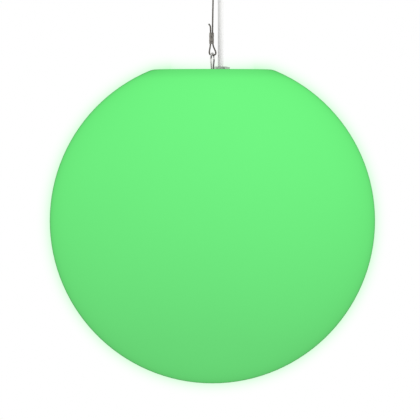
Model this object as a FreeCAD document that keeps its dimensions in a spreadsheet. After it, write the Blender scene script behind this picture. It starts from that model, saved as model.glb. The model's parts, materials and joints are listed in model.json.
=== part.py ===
import FreeCAD, Part
import math
import os
import Sketcher

# Garden globe light: a translucent plastic ball that hangs by a wire rope from a
# hook under a ceiling canopy, with its power cable beside the rope.
# Millimetres. X is to the right as seen from the front, Y away from the viewer and
# Z up. The origin is the centre of the canopy bracket's face on the ceiling.

SIZES = {
    # Ceiling to the flat on top of the ball
    "hang_drop": 205.6,
    # Ball
    "globe_radius": 200.0,
    "rim_fillet": 20.0,
    "shell_wall": 4.0,
    # Allowances used all over: a thread in its nut, a bolt in its hole, a joined overlap
    "thread_play": 0.05,
    "hole_play": 0.1,
    "overlap": 0.2,
    # Collar set into the flat: a well for the fittings, with a ledge for the lid
    "well_radius": 48.0,
    "collar_wall": 3.5,
    "collar_flange": 18.0,
    "flat_margin": 3.84,
    "collar_flange_thick": 2.0,
    "collar_play": 0.1,
    "collar_rest": 5.0,
    "access_radius": 32.0,
    "boss_radius": 6.5,
    "boss_depth": 7.0,
    "insert_radius": 3.5,
    "insert_length": 9.0,
    # Lid in the well
    "lid_below_flat": 16.0,
    "lid_thick": 4.0,
    "lid_play": 2.0,
    "gasket_thick": 2.0,
    "gasket_width": 3.0,
    "gasket_play": 0.3,
    "screw_circle": 40.0,
    "screw_count": 6.0,
    "screw_radius": 2.0,
    "screw_length": 12.0,
    "screw_head_radius": 3.8,
    "screw_head_height": 2.4,
    "screw_play": 0.2,
    # Eye bolt in the lid
    "eye_wire": 3.0,
    "eye_inner": 7.0,
    "eye_above_flat": 1.1,
    "eye_shank": 6.0,
    "eye_collar": 11.0,
    "eye_shank_below_lid": 13.0,
    "eye_shank_in_collar": 0.5,
    "eye_nut_flats": 10.0,
    "eye_nut_height": 5.0,
    "eye_washer_radius": 6.0,
    "eye_washer_thick": 1.2,
    # Cable glands, one in the lid and one in the canopy
    "gland_right": 10.15,
    "gland_behind": 18.0,
    "gland_thread": 16.0,
    "gland_flats": 19.5,
    "gland_flange": 5.0,
    "gland_neck_radius": 8.6,
    "gland_neck": 8.0,
    "gland_neck_wall": 1.6,
    "gland_round_below_flats": 0.3,
    "gland_nut_height": 14.7,
    "gland_nut_gap": 0.5,
    "gland_dome": 1.0,
    "gland_dome_curve": 10.0,
    "gland_dome_wall": 0.6,
    "gland_lip": 0.8,
    "gland_lip_depth": 1.5,
    "gland_mouth": 8.0,
    "gland_bore": 8.0,
    "gland_thread_length": 12.0,
    "gland_locknut_flats": 19.0,
    "gland_locknut_height": 4.0,
    "gland_seal_height": 8.0,
    "gland_seal_above_neck": 3.0,
    "gland_seal_taper": 0.75,
    "cable_diameter": 7.0,
    "cable_in_mouth": 1.5,
    "cable_past_gland": 4.0,
    "core_diameter": 2.2,
    "core_spacing": 2.6,
    # Wire rope and its crimped ferrules
    "rope_diameter": 2.0,
    "ferrule_width": 6.0,
    "ferrule_depth": 3.8,
    "ferrule_height": 13.9,
    "strand_pitch": 2.4,
    "strand_play": 0.05,
    "lower_ferrule_above_flat": 31.45,
    "lower_ferrule_right": -1.05,
    "upper_ferrule_right": 0.0,
    "upper_ferrule_below_hook": 14.0,
    "loop_half_width": 4.6,
    "loop_corner": 1.8,
    "lower_loop_right": 0.35,
    "lower_loop_shoulder": 3.2,
    "upper_loop_shoulder": 4.2,
    "lower_tail_lean": 2.5,
    "lower_tail_rise": 9.2,
    "upper_tail_lean": 2.2,
    "upper_tail_drop": 9.6,
    "link_gap": 0.3,
    # Snap hook between the rope and the eye bolt
    "snap_wire": 2.4,
    "snap_top_radius": 7.0,
    "snap_foot_radius": 3.05,
    "snap_turn": 75.0,
    "snap_length": 25.9,
    "gate_play": 0.3,
    "gate_pin": 1.0,
    "gate_pin_play": 0.05,
    "tang_thick": 1.0,
    "tang_above_pin": 1.2,
    "tang_in_foot": 0.6,
    "ear_play": 0.15,
    "gate_nose_from_top": 8.5,
    "gate_foot_from_foot": 5.5,
    "gate_spring_thick": 0.3,
    "gate_spring_width": 0.8,
    "gate_spring_length": 4.5,
    "gate_spring_play": 0.1,
    # Ceiling hook
    "hook_wire": 5.0,
    "hook_mean_radius": 8.0,
    "hook_neck_radius": 5.0,
    "hook_below_ceiling": 70.0,
    "hook_tip_angle": 150.0,
    "hook_shank_top": 5.0,
    "hook_nut_flats": 8.0,
    "hook_nut_height": 4.0,
    "hook_washer_radius": 5.0,
    "hook_washer_thick": 1.0,
    # Canopy and the strap that holds it to the ceiling
    "canopy_radius": 60.0,
    "canopy_depth": 40.0,
    "canopy_wall": 2.0,
    "canopy_edge": 6.0,
    "canopy_nut_radius": 7.0,
    "canopy_nut_height": 6.0,
    "strap_width": 22.0,
    "strap_thick": 2.0,
    "strap_depth": 14.0,
    "strap_bend_from_canopy": 19.0,
    "strap_foot": 15.5,
    "slot_width": 5.0,
    "slot_length": 10.0,
    "slot_beyond_bend": 8.0,
    # Terminal block under the strap
    "block_left": 26.0,
    "block_pitch": 8.0,
    "block_depth": 15.0,
    "block_height": 12.0,
    "block_bore": 3.4,
    "block_screw_radius": 1.5,
    "block_screw_sunk": 2.0,
    "block_screw_play": 0.3,
    "canopy_core_into_block": 3.0,
    "canopy_core_step_right": 1.56,
    "canopy_core_step_behind": 2.26,
    "canopy_core_step_up": 0.3,
    # Lampholder on its strap under the lid
    "holder_strap_width": 14.0,
    "holder_strap_thick": 1.5,
    "holder_strap_half_span": 26.0,
    "holder_strap_height": 33.5,
    "holder_strap_tab": 13.0,
    "holder_screw_spacing": 39.0,
    "holder_screw_radius": 1.5,
    "holder_screw_length": 7.0,
    "holder_screw_head_radius": 2.85,
    "holder_screw_head_height": 1.92,
    "nipple_radius": 5.0,
    "nipple_bore": 7.0,
    "nipple_length": 16.0,
    "nipple_above_strap": 4.5,
    "nipple_nut_flats": 14.0,
    "nipple_nut_height": 3.0,
    "holder_radius": 22.0,
    "holder_wall": 2.0,
    "holder_cap_height": 27.0,
    "holder_cap_top_radius": 12.0,
    "holder_cap_boss": 8.0,
    "holder_cap_skirt": 8.0,
    "holder_cap_chamfer": 1.0,
    "holder_sleeve_height": 32.0,
    "holder_sleeve_mouth": 16.0,
    "holder_sleeve_chamfer": 2.0,
    "holder_core_radius": 16.0,
    "holder_core_height": 14.0,
    "holder_core_below_cap_top": 16.0,
    "holder_core_lip": 3.0,
    "holder_core_well_right": 9.0,
    "holder_core_well_depth": 6.0,
    "holder_core_well_play": 0.3,
    "lamp_core_in_well": 4.0,
    "lamp_core_spread_low": 15.0,
    "lamp_core_spread_high": 12.0,
    "lamp_core_level": 9.5,
    "earth_core_lane": 2.34,
    "earth_core_short": 4.6,
    "earth_core_side": 5.0,
    "contact_inner_radius": 13.3,
    "contact_wall": 0.4,
    "contact_height": 22.0,
    "contact_spring": 1.5,
    "contact_hole": 8.0,
    "contact_spring_top_radius": 5.5,
    "contact_spring_tip_radius": 3.5,
    "earth_screw_radius": 2.0,
    "earth_screw_head_radius": 3.8,
    "earth_screw_head_height": 2.2,
    "earth_screw_past_strap": 1.5,
    "earth_screw_slot": 1.0,
    "earth_screw_slot_depth": 0.9,
    "earth_screw_below_lid": 26.0,
    # Colour lamp
    "lamp_cap_radius": 13.0,
    "lamp_cap_height": 24.0,
    "lamp_cap_wall": 0.4,
    "lamp_cap_shoulder": 3.0,
    "lamp_cap_hole_edge": 1.0,
    "lamp_tip_height": 3.0,
    "lamp_tip_radius": 5.0,
    "lamp_tip_in_cap": 2.0,
    "lamp_tip_top_radius": 3.2,
    "lamp_tip_crown": 0.6,
    "lamp_radius": 30.0,
    "lamp_wall": 1.5,
    "lamp_housing_height": 38.0,
    "lamp_housing_neck": 14.5,
    "lamp_housing_collar": 3.0,
    "lamp_housing_in_cap": 10.0,
    "lamp_housing_rim": 5.0,
    "lamp_board_radius": 27.0,
    "lamp_board_thick": 1.6,
    "lamp_board_above_rim": 1.0,
    "led_count": 12.0,
    "led_circle": 18.0,
    "led_side": 3.5,
    "led_height": 1.0,
    "driver_width": 18.0,
    "driver_height": 24.0,
}

# Places worked out from the sizes
PLACES = {
    "flat": "-sizes.hang_drop",
    "collar_outside": "sizes.well_radius + sizes.collar_wall",
    "flange_radius": "sizes.well_radius + sizes.collar_flange",
    "rim_radius": "flange_radius + sizes.flat_margin",
    "rim_rise": "sqrt((sizes.globe_radius - sizes.rim_fillet)^2 - rim_radius^2)",
    "flat_above_middle": "rim_rise + sizes.rim_fillet",
    "middle": "flat - flat_above_middle",
    "rim_share": "sizes.globe_radius / (sizes.globe_radius - sizes.rim_fillet)",
    "inner_radius": "sizes.globe_radius - sizes.shell_wall",
    "inner_share": "inner_radius / (sizes.globe_radius - sizes.rim_fillet)",
    "lid_top": "flat - sizes.lid_below_flat",
    "lid_under": "lid_top - sizes.lid_thick",
    "ledge_top": "lid_under - sizes.gasket_thick",
    "ledge_under": "ledge_top - sizes.collar_wall",
    "flange_under": "flat - sizes.collar_flange_thick",
    "lid_radius": "sizes.well_radius - sizes.lid_play",
    "eye_mean": "(sizes.eye_inner + sizes.eye_wire) / 2",
    "eye_wire_top": "flat + sizes.eye_above_flat - sizes.eye_wire / 2",
    "eye_middle": "eye_wire_top - eye_mean",
    "snap_foot_wire": "eye_wire_top - (sizes.eye_wire + sizes.snap_wire) / 2 - sizes.link_gap",
    "snap_top_wire": "snap_foot_wire + sizes.snap_length - sizes.snap_wire",
    "snap_top_centre": "snap_top_wire - sizes.snap_top_radius",
    "snap_foot_centre": "snap_foot_wire + sizes.snap_foot_radius",
    "loop_foot": "snap_top_wire - (sizes.snap_wire + sizes.rope_diameter) / 2 - sizes.link_gap",
    "hook_wire_low": "-sizes.hook_below_ceiling",
    "hook_middle": "hook_wire_low + sizes.hook_mean_radius",
    "loop_top": "hook_wire_low + (sizes.hook_wire + sizes.rope_diameter) / 2 + sizes.link_gap",
    "lower_ferrule_low": "flat + sizes.lower_ferrule_above_flat",
    "lower_ferrule_high": "lower_ferrule_low + sizes.ferrule_height",
    "upper_ferrule_high": "hook_wire_low - sizes.upper_ferrule_below_hook",
    "upper_ferrule_low": "upper_ferrule_high - sizes.ferrule_height",
    "canopy_under": "-sizes.canopy_depth",
    "gland_reach": "sizes.gland_flange + sizes.gland_nut_gap + sizes.gland_nut_height",
    "cable_low": "lid_top + gland_reach - sizes.cable_in_mouth",
    "cable_high": "canopy_under - gland_reach + sizes.cable_in_mouth",
    "cable_length": "cable_high - cable_low",
    "lamp_cable_end": "lid_under - sizes.gland_thread_length + sizes.lid_thick - sizes.cable_past_gland",
    "canopy_cable_end": "canopy_under + sizes.gland_thread_length + sizes.cable_past_gland",
    "gland_offset": "sqrt(sizes.gland_right^2 + sizes.gland_behind^2)",
    "gland_bearing": "atan2(sizes.gland_behind; sizes.gland_right)",
    "strap_bearing": "gland_bearing - 90 deg",
    "strap_half_span": "sizes.canopy_radius - sizes.strap_bend_from_canopy",
    "slot_spacing": "2 * (strap_half_span + sizes.slot_beyond_bend)",
    "strap_under": "-sizes.strap_depth",
    "strap_seat": "strap_under + sizes.strap_thick",
    "block_middle": "strap_under - sizes.block_height / 2",
    "web_top": "lid_under - sizes.holder_strap_height + sizes.holder_strap_thick",
    "web_under": "lid_under - sizes.holder_strap_height",
    "core_top": "web_under - sizes.holder_core_below_cap_top",
    "core_under": "core_top - sizes.holder_core_height",
    "sleeve_top": "web_under - sizes.holder_cap_height",
    "sleeve_under": "sleeve_top - sizes.holder_sleeve_height",
    "lamp_top": "core_under - sizes.contact_spring",
    "lamp_cap_top": "lamp_top - sizes.lamp_tip_height",
    "lamp_cap_under": "lamp_cap_top - sizes.lamp_cap_height",
    "lamp_rim": "lamp_cap_under - sizes.lamp_housing_height",
}

# How far outside a ferrule the rope starts to bend, and how much of that a bend takes
SLEEVE_EXIT = 1.5
SLEEVE_REACH = 0.95
# Share of its shorter run that an arc of a wire takes
ARC_SHARE = 0.45
# Where a rope's tail starts to curl, as shares of its length and of its lean
TAIL_BENDS = ((0.60, 0.06), (0.86, 0.40))
# Cross slot of a screw: its length and width per head radius, its floor per head height
CROSS_LONG = 1.1
CROSS_WIDE = 0.28
CROSS_FLOOR = 0.5
# Parts of the snap hook, per diameter of its wire
TANG_WIDE = 0.8
GATE_PAST_PIN = 0.4
FORK_WIDE = 1.4
PIN_LONG = 0.96
# Domed nut under the canopy: flat top, straight side and curve, per its own size
DOME_FLAT = 0.6
DOME_SIDE = 0.4
DOME_CURVE = 0.62

V = FreeCAD.Vector
UP = V(0, 0, 1)

doc = FreeCAD.newDocument("garden_globe_light")
nodes = []


def make_sheets():
    """The driving sizes as plain numbers, and the places worked out from them."""
    sizes = doc.addObject("Spreadsheet::Sheet", "sizes")
    for row, (alias, value) in enumerate(SIZES.items(), start=1):
        sizes.set(f"A{row}", alias)
        sizes.set(f"B{row}", str(value))
        sizes.setAlias(f"B{row}", alias)
    places = doc.addObject("Spreadsheet::Sheet", "places")
    for row, (alias, formula) in enumerate(PLACES.items(), start=1):
        places.set(f"A{row}", alias)
        places.setAlias(f"B{row}", alias)
        places.set(f"B{row}", "=" + formula)
    doc.recompute()
    return sizes, places


sizes, places = make_sheets()


def value(expression):
    """The number that an expression of the two sheets gives."""
    result = sizes.evalExpression(str(expression))
    return float(getattr(result, "Value", result))


def keep(thing, label):
    """Name a finished sub-part and list it for export."""
    thing.Label = label
    nodes.append(thing)
    return thing


def place(thing, right="0", behind="0", up="0"):
    """Bind a thing's place to expressions."""
    for axis, expression in (("x", right), ("y", behind), ("z", up)):
        thing.setExpression(f"Placement.Base.{axis}", str(expression))
    return thing


def turn(thing, bearing):
    """Turn a thing about the vertical by an angle that follows the sheets."""
    thing.Placement = FreeCAD.Placement(thing.Placement.Base, FreeCAD.Rotation(UP, 1.0))
    thing.setExpression("Placement.Rotation.Angle", str(bearing))
    return thing


def new_body(label):
    return keep(doc.addObject("PartDesign::Body", label), label)


def plane_of(body, role):
    return next(part for part in body.Origin.OriginFeatures if part.Role == role)


def new_sketch(body, name, role, rise=None):
    """A sketch on one of the body's own planes, raised by an expression if given."""
    sketch = body.newObject("Sketcher::SketchObject", name)
    sketch.AttachmentSupport = (plane_of(body, role), [""])
    sketch.MapMode = "FlatFace"
    if rise is not None:
        sketch.setExpression("AttachmentOffset.Base.z", str(rise))
    return sketch


def pin_point(sketch, geometry, end, across, along):
    """Fix a point of the sketch at two expressions."""
    for kind, expression in (("DistanceX", across), ("DistanceY", along)):
        number = sketch.addConstraint(
            Sketcher.Constraint(kind, -1, 1, geometry, end, value(expression)))
        sketch.setExpression(f"Constraints[{number}]", f"({expression}) * 1")


def arc_between(first, last, radius, side):
    """An arc of under a half circle; side 1 bends left on the way, -1 bends right."""
    chord = last - first
    half = chord.Length / 2
    left = V(-chord.y, chord.x, 0).normalize()
    middle = (first + last) / 2 + left * side * math.sqrt(radius * radius - half * half)
    start, stop = (first, last) if side > 0 else (last, first)
    angles = [math.atan2(p.y - middle.y, p.x - middle.x) for p in (start, stop)]
    if angles[1] < angles[0]:
        angles[1] += 2 * math.pi
    return Part.ArcOfCircle(Part.Circle(middle, UP, radius), angles[0], angles[1])


def outline(sketch, corners, arcs=None):
    """A closed outline. arcs gives, for the edge after a corner, its radius and side."""
    arcs = arcs or {}
    count = len(corners)
    points = [V(value(across), value(along), 0) for across, along in corners]
    first_ends = []
    last_ends = []
    for index in range(count):
        first, last = points[index], points[(index + 1) % count]
        if index in arcs:
            radius, side = arcs[index]
            sketch.addGeometry(arc_between(first, last, value(radius), side), False)
            first_ends.append(1 if side > 0 else 2)
            last_ends.append(2 if side > 0 else 1)
        else:
            sketch.addGeometry(Part.LineSegment(first, last), False)
            first_ends.append(1)
            last_ends.append(2)
    for index in range(count):
        after = (index + 1) % count
        sketch.addConstraint(Sketcher.Constraint(
            "Coincident", index, last_ends[index], after, first_ends[after]))
    for index, (across, along) in enumerate(corners):
        pin_point(sketch, index, first_ends[index], across, along)
    for index, (radius, side) in arcs.items():
        number = sketch.addConstraint(Sketcher.Constraint("Radius", index, value(radius)))
        sketch.setExpression(f"Constraints[{number}]", f"({radius}) * 1")
    return sketch


def circles(sketch, rings):
    """Circles at (across, along, radius), all expressions."""
    for across, along, radius in rings:
        middle = V(value(across), value(along), 0)
        index = sketch.addGeometry(Part.Circle(middle, UP, value(radius)), False)
        pin_point(sketch, index, 3, across, along)
        number = sketch.addConstraint(Sketcher.Constraint("Radius", index, value(radius)))
        sketch.setExpression(f"Constraints[{number}]", f"({radius}) * 1")
    return sketch


def turned(label, corners, arcs=None):
    """A body turned about its own upright axis from an outline of (radius, height)."""
    body = new_body(label)
    sketch = outline(new_sketch(body, label + "_outline", "XZ_Plane"), corners, arcs)
    turned_feature = body.newObject("PartDesign::Revolution", label + "_turned")
    turned_feature.Profile = sketch
    turned_feature.ReferenceAxis = (sketch, ["V_Axis"])
    turned_feature.Angle = 360
    body.Tip = turned_feature
    return body


def pad(body, sketch, thick, down=False, midplane=False):
    feature = body.newObject("PartDesign::Pad", sketch.Name + "_pad")
    feature.Profile = sketch
    feature.setExpression("Length", str(thick))
    feature.Reversed = down
    feature.Midplane = midplane
    body.Tip = feature
    return feature


def pocket(body, sketch, depth, up=False):
    """A pocket cut down from its sketch, or up; the body must lose volume."""
    doc.recompute()
    before = body.Shape.Volume
    feature = body.newObject("PartDesign::Pocket", sketch.Name + "_cut")
    feature.Profile = sketch
    feature.setExpression("Length", str(depth))
    feature.Reversed = up
    body.Tip = feature
    doc.recompute()
    if body.Shape.Volume >= before:
        raise ValueError(feature.Name + " cut nothing")
    return feature


def repeat_round(body, feature, count):
    """Repeat a feature round the body's upright axis."""
    pattern = body.newObject("PartDesign::PolarPattern", feature.Name + "_round")
    pattern.Originals = [feature]
    pattern.Axis = (plane_of(body, "Z_Axis"), [""])
    pattern.Angle = 360
    pattern.setExpression("Occurrences", str(count))
    body.Tip = pattern
    return pattern


def rod(name, radius, height, right="0", behind="0", up="0"):
    """A plain upright cylinder."""
    cylinder = doc.addObject("Part::Cylinder", name)
    cylinder.setExpression("Radius", str(radius))
    cylinder.setExpression("Height", str(height))
    return place(cylinder, right, behind, up)


def hexagon(name, flats, height, right="0", behind="0", up="0"):
    """An upright hexagonal bar, sized across its flats."""
    prism = doc.addObject("Part::Prism", name)
    prism.Polygon = 6
    prism.setExpression("Circumradius", f"({flats}) / sqrt(3)")
    prism.setExpression("Height", str(height))
    return place(prism, right, behind, up)


def slab(name, along_x, along_y, along_z, right, behind, up):
    """A box given by its sizes and its lowest corner."""
    box = doc.addObject("Part::Box", name)
    for side, expression in (("Length", along_x), ("Width", along_y), ("Height", along_z)):
        box.setExpression(side, str(expression))
    return place(box, right, behind, up)


def cut(name, base, tool):
    result = doc.addObject("Part::Cut", name)
    result.Base = base
    result.Tool = tool
    return result


def fuse(name, shapes):
    result = doc.addObject("Part::MultiFuse", name)
    result.Shapes = shapes
    return result


def group(label, members):
    """Several loose copies of one fastener under one name."""
    result = doc.addObject("Part::Compound", label)
    result.Links = members
    return keep(result, label)


def nut(name, flats, height, bore, right="0", behind="0", up="0"):
    """A plain hexagon nut."""
    body = hexagon(name + "_hex", flats, height, right, behind, up)
    hole = rod(name + "_hole", bore, height, right, behind, up)
    return cut(name, body, hole)


def washer(name, radius, bore, thick, up):
    body = rod(name + "_disc", radius, thick, up=up)
    hole = rod(name + "_hole", bore, thick, up=up)
    return cut(name, body, hole)


def screw(name, radius, length, head_radius, head_height, right, behind, under_head):
    """A pan head screw pointing down, with a cross slot in its head."""
    shank = rod(name + "_shank", radius, f"({length}) + sizes.overlap", right, behind,
                f"({under_head}) - ({length})")
    head = rod(name + "_head", head_radius, head_height, right, behind, under_head)
    solid = fuse(name + "_solid", [shank, head])
    slot_long = f"({head_radius}) * {CROSS_LONG}"
    slot_wide = f"({head_radius}) * {CROSS_WIDE}"
    slot_up = f"({under_head}) + ({head_height}) * {CROSS_FLOOR}"
    bars = []
    for number, (across, along) in enumerate(((slot_long, slot_wide), (slot_wide, slot_long))):
        bars.append(slab(f"{name}_slot{number}", across, along, head_height,
                         f"({right}) - ({across}) / 2", f"({behind}) - ({along}) / 2", slot_up))
    return cut(name, solid, fuse(name + "_cross", bars))


def wire(label, points, diameter, reach=None):
    """A round wire along straight runs joined by tangent arcs.

    Each arc takes a share of its shorter run. reach caps that at a point that lies just
    outside a sleeve, so the wire is straight inside it. Radii and volume are printed.
    """
    reach = reach or {}
    edges = []
    used = []
    here = points[0]
    for index in range(1, len(points) - 1):
        corner = points[index]
        back = (points[index - 1] - corner)
        ahead = (points[index + 1] - corner)
        shorter = min(back.Length, ahead.Length)
        back.normalize()
        ahead.normalize()
        half_turn = (math.pi - back.getAngle(ahead)) / 2
        radius = min(ARC_SHARE * shorter, reach.get(index, shorter)) / math.tan(half_turn)
        used.append(round(radius, 1))
        start = corner + back * radius * math.tan(half_turn)
        stop = corner + ahead * radius * math.tan(half_turn)
        inward = (back + ahead).normalize()
        middle = corner + inward * (radius / math.cos(half_turn) - radius)
        if (start - here).Length > 1e-6:
            edges.append(Part.LineSegment(here, start).toShape())
        edges.append(Part.Arc(start, middle, stop).toShape())
        here = stop
    edges.append(Part.LineSegment(here, points[-1]).toShape())
    path = Part.Wire(edges)
    profile = Part.Wire(Part.Circle(points[0], points[1] - points[0], diameter / 2).toShape())
    solid = path.makePipeShell([profile], True, False)
    expected = path.Length * math.pi * diameter * diameter / 4
    print(f"{label}: length {path.Length:.1f}, radii {used}, "
          f"volume share {solid.Volume / expected:.4f}")
    return solid


def loose(label, shape):
    """A sub-part whose shape is made directly."""
    feature = doc.addObject("Part::Feature", label)
    feature.Shape = shape
    return keep(feature, label)


def gland_at(name, right, behind, seat, upright, wall, sheath_end):
    """A cable gland: body, seal, domed nut and locknut on one cable.

    seat is the outer face of the panel that carries it; upright is 1 where the
    domed nut points up and -1 where it points down.
    """
    s = "sizes."
    flip = f"{upright} * "
    across = f"{s}gland_flats / 2 - {s}gland_round_below_flats"

    def solid_of(label, corners, arcs=None):
        body = turned(label, [(radius, f"{flip}({height})") for radius, height in corners],
                      {edge: (radius, side * upright) for edge, (radius, side)
                       in (arcs or {}).items()})
        place(body, right, behind, seat)
        return body

    bore = f"{s}gland_bore / 2"
    thread = f"{s}gland_thread / 2"
    neck_top = f"{s}gland_flange + {s}gland_neck"
    neck_bore = f"{s}gland_neck_radius - {s}gland_neck_wall"
    seal_low = f"{neck_top} - {s}gland_seal_height + {s}gland_seal_above_neck"
    body = solid_of(name + "_body", [
        (bore, f"-{s}gland_thread_length"), (thread, f"-{s}gland_thread_length"), (thread, "0"),
        (across, "0"), (across, f"{s}gland_flange"),
        (f"{s}gland_neck_radius", f"{s}gland_flange"), (f"{s}gland_neck_radius", neck_top),
        (neck_bore, neck_top), (neck_bore, seal_low), (bore, seal_low)])
    hex_corners = [(f"{s}gland_flats / sqrt(3) * cos({60 * k})",
                    f"{s}gland_flats / sqrt(3) * sin({60 * k})") for k in range(6)]
    flange = outline(new_sketch(body, name + "_body_flats", "XY_Plane"), hex_corners)
    hollow_round(body, flange, f"{s}gland_flange", upright < 0, bore)

    seal_edge = f"{neck_bore} - {s}thread_play"
    seal_top = f"{seal_low} + {s}gland_seal_height"
    solid_of(name + "_seal", [
        (f"{s}cable_diameter / 2", seal_low), (seal_edge, seal_low), (seal_edge, neck_top),
        (f"{seal_edge} - {s}gland_seal_taper", seal_top), (f"{s}cable_diameter / 2", seal_top)])

    nut_low = f"{s}gland_flange + {s}gland_nut_gap"
    shoulder = f"{nut_low} + {s}gland_nut_height - {s}gland_dome"
    top = f"{nut_low} + {s}gland_nut_height"
    mouth = f"{s}gland_mouth / 2"
    nut_bore = f"{s}gland_neck_radius + {s}thread_play"
    nut_body = solid_of(name + "_nut", [
        (nut_bore, nut_low), (across, nut_low), (across, shoulder),
        (f"{mouth} + {s}gland_lip", top), (mouth, top), (mouth, f"{top} - {s}gland_lip_depth"),
        (nut_bore, f"{shoulder} - {s}gland_dome_wall")], {2: (f"{s}gland_dome_curve", 1)})
    nut_rise = f"{flip}({nut_low})"
    flats = outline(new_sketch(nut_body, name + "_nut_flats", "XY_Plane", nut_rise), hex_corners)
    hollow_round(nut_body, flats, f"{shoulder} - ({nut_low})", upright < 0, nut_bore, nut_rise)

    back_face = f"{seat} - {wall} - {s}gland_locknut_height" if upright > 0 else f"{seat} + {wall}"
    lock = nut(name + "_locknut", f"{s}gland_locknut_flats", f"{s}gland_locknut_height",
               f"{thread} + {s}thread_play", right, behind, back_face)
    keep(lock, name + "_locknut")

    start = sheath_end if upright > 0 else "places.cable_high"
    length = (f"places.cable_low - ({sheath_end})" if upright > 0
              else f"({sheath_end}) - places.cable_high")
    keep(rod(name + "_cable", f"{s}cable_diameter / 2", length, right, behind, start),
         name + "_cable")


def hollow_round(body, hexagon_sketch, height, down, bore, rise=None):
    """Six flats round a turned body: a hexagonal pad with the body's bore cut again."""
    pad(body, hexagon_sketch, height, down=down)
    ring = circles(new_sketch(body, hexagon_sketch.Name + "_bore", "XY_Plane", rise),
                   [("0", "0", bore)])
    pocket(body, ring, height, up=not down)


def make_globe_shell():
    """Moulded ball with a flat top, and a stepped hole in the flat for the collar."""
    p = "places."
    rim_in = f"{p}rim_radius * {p}inner_share"
    body = turned("globe_shell", [
        ("0", f"{p}middle - sizes.globe_radius"),
        ("sizes.globe_radius", f"{p}middle"),
        (f"{p}rim_radius * {p}rim_share", f"{p}middle + {p}rim_rise * {p}rim_share"),
        (f"{p}rim_radius", f"{p}flat"),
        (f"{p}flange_radius", f"{p}flat"),
        (f"{p}flange_radius", f"{p}flange_under"),
        (f"{p}flange_radius - sizes.collar_rest", f"{p}flange_under"),
        (f"{p}flange_radius - sizes.collar_rest", f"{p}flat - sizes.shell_wall"),
        (f"{p}rim_radius", f"{p}flat - sizes.shell_wall"),
        (rim_in, f"{p}middle + {p}rim_rise * {p}inner_share"),
        (f"{p}inner_radius", f"{p}middle"),
        ("0", f"{p}middle - {p}inner_radius"),
    ], {
        0: ("sizes.globe_radius", 1), 1: ("sizes.globe_radius", 1), 2: ("sizes.rim_fillet", 1),
        8: ("sizes.rim_fillet - sizes.shell_wall", -1), 9: (f"{p}inner_radius", -1),
        10: (f"{p}inner_radius", -1),
    })


def make_collar():
    """Collar flush in the flat: a round well, a ledge for the lid and screw bosses."""
    p = "places."
    edge = f"{p}flange_radius - sizes.collar_play"
    body = turned("well_collar", [
        ("sizes.well_radius", f"{p}flat"), ("sizes.well_radius", f"{p}ledge_top"),
        ("sizes.access_radius", f"{p}ledge_top"), ("sizes.access_radius", f"{p}ledge_under"),
        (f"{p}collar_outside", f"{p}ledge_under"), (f"{p}collar_outside", f"{p}flange_under"),
        (edge, f"{p}flange_under"), (edge, f"{p}flat")])
    boss = circles(new_sketch(body, "collar_boss", "XY_Plane", f"{p}ledge_under"),
                   [("sizes.screw_circle", "0", "sizes.boss_radius")])
    repeat_round(body, pad(body, boss, "sizes.boss_depth", down=True), "sizes.screw_count")
    hole = circles(new_sketch(body, "collar_insert_hole", "XY_Plane", f"{p}ledge_top"),
                   [("sizes.screw_circle", "0", "sizes.insert_radius")])
    repeat_round(body, pocket(body, hole, "sizes.insert_length"), "sizes.screw_count")


def round_the_lid(make_one):
    """One fastener at each place on the lid's screw circle."""
    count = int(value("sizes.screw_count"))
    return [make_one(number, f"sizes.screw_circle * cos(360 * {number} / sizes.screw_count)",
                     f"sizes.screw_circle * sin(360 * {number} / sizes.screw_count)")
            for number in range(count)]


def make_inserts():
    """Brass inserts moulded into the bosses under the ledge."""
    def one(number, right, behind):
        low = "places.ledge_top - sizes.insert_length"
        sleeve = rod(f"insert{number}_sleeve", "sizes.insert_radius", "sizes.insert_length",
                     right, behind, low)
        hole = rod(f"insert{number}_hole", "sizes.screw_radius + sizes.thread_play",
                   "sizes.insert_length", right, behind, low)
        return cut(f"insert{number}", sleeve, hole)
    group("collar_inserts", round_the_lid(one))


def make_lid():
    """Lid with holes for the eye bolt, the gland, its own screws and the holder strap."""
    body = new_body("lid")
    disc = circles(new_sketch(body, "lid_disc", "XY_Plane"),
                   [("0", "0", "places.lid_radius")])
    pad(body, disc, "sizes.lid_thick")
    across = "sizes.holder_screw_spacing / 2"
    holes = circles(new_sketch(body, "lid_holes", "XY_Plane", "sizes.lid_thick"), [
        ("0", "0", "sizes.eye_shank / 2 + sizes.screw_play"),
        ("sizes.gland_right", "sizes.gland_behind", "sizes.gland_thread / 2 + sizes.hole_play"),
        (f"{across} * cos(places.strap_bearing)", f"{across} * sin(places.strap_bearing)",
         "sizes.holder_screw_radius + sizes.screw_play"),
        (f"-{across} * cos(places.strap_bearing)", f"-{across} * sin(places.strap_bearing)",
         "sizes.holder_screw_radius + sizes.screw_play")])
    pocket(body, holes, "sizes.lid_thick")
    screw_hole = circles(new_sketch(body, "lid_screw_hole", "XY_Plane", "sizes.lid_thick"),
                         [("sizes.screw_circle", "0", "sizes.screw_radius + sizes.screw_play")])
    repeat_round(body, pocket(body, screw_hole, "sizes.lid_thick"), "sizes.screw_count")
    place(body, up="places.lid_under")


def make_gasket():
    """Rubber ring between the lid and the ledge, inside the circle of screws."""
    outer = "sizes.screw_circle - sizes.insert_radius - sizes.gasket_play"
    ring = cut("lid_gasket", rod("gasket_disc", outer, "sizes.gasket_thick", up="places.ledge_top"),
               rod("gasket_hole", f"{outer} - sizes.gasket_width", "sizes.gasket_thick",
                   up="places.ledge_top"))
    keep(ring, "lid_gasket")


def make_lid_screws():
    def one(number, right, behind):
        return screw(f"lid_screw{number}", "sizes.screw_radius", "sizes.screw_length",
                     "sizes.screw_head_radius", "sizes.screw_head_height", right, behind,
                     "places.lid_top")
    group("lid_screws", round_the_lid(one))


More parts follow.
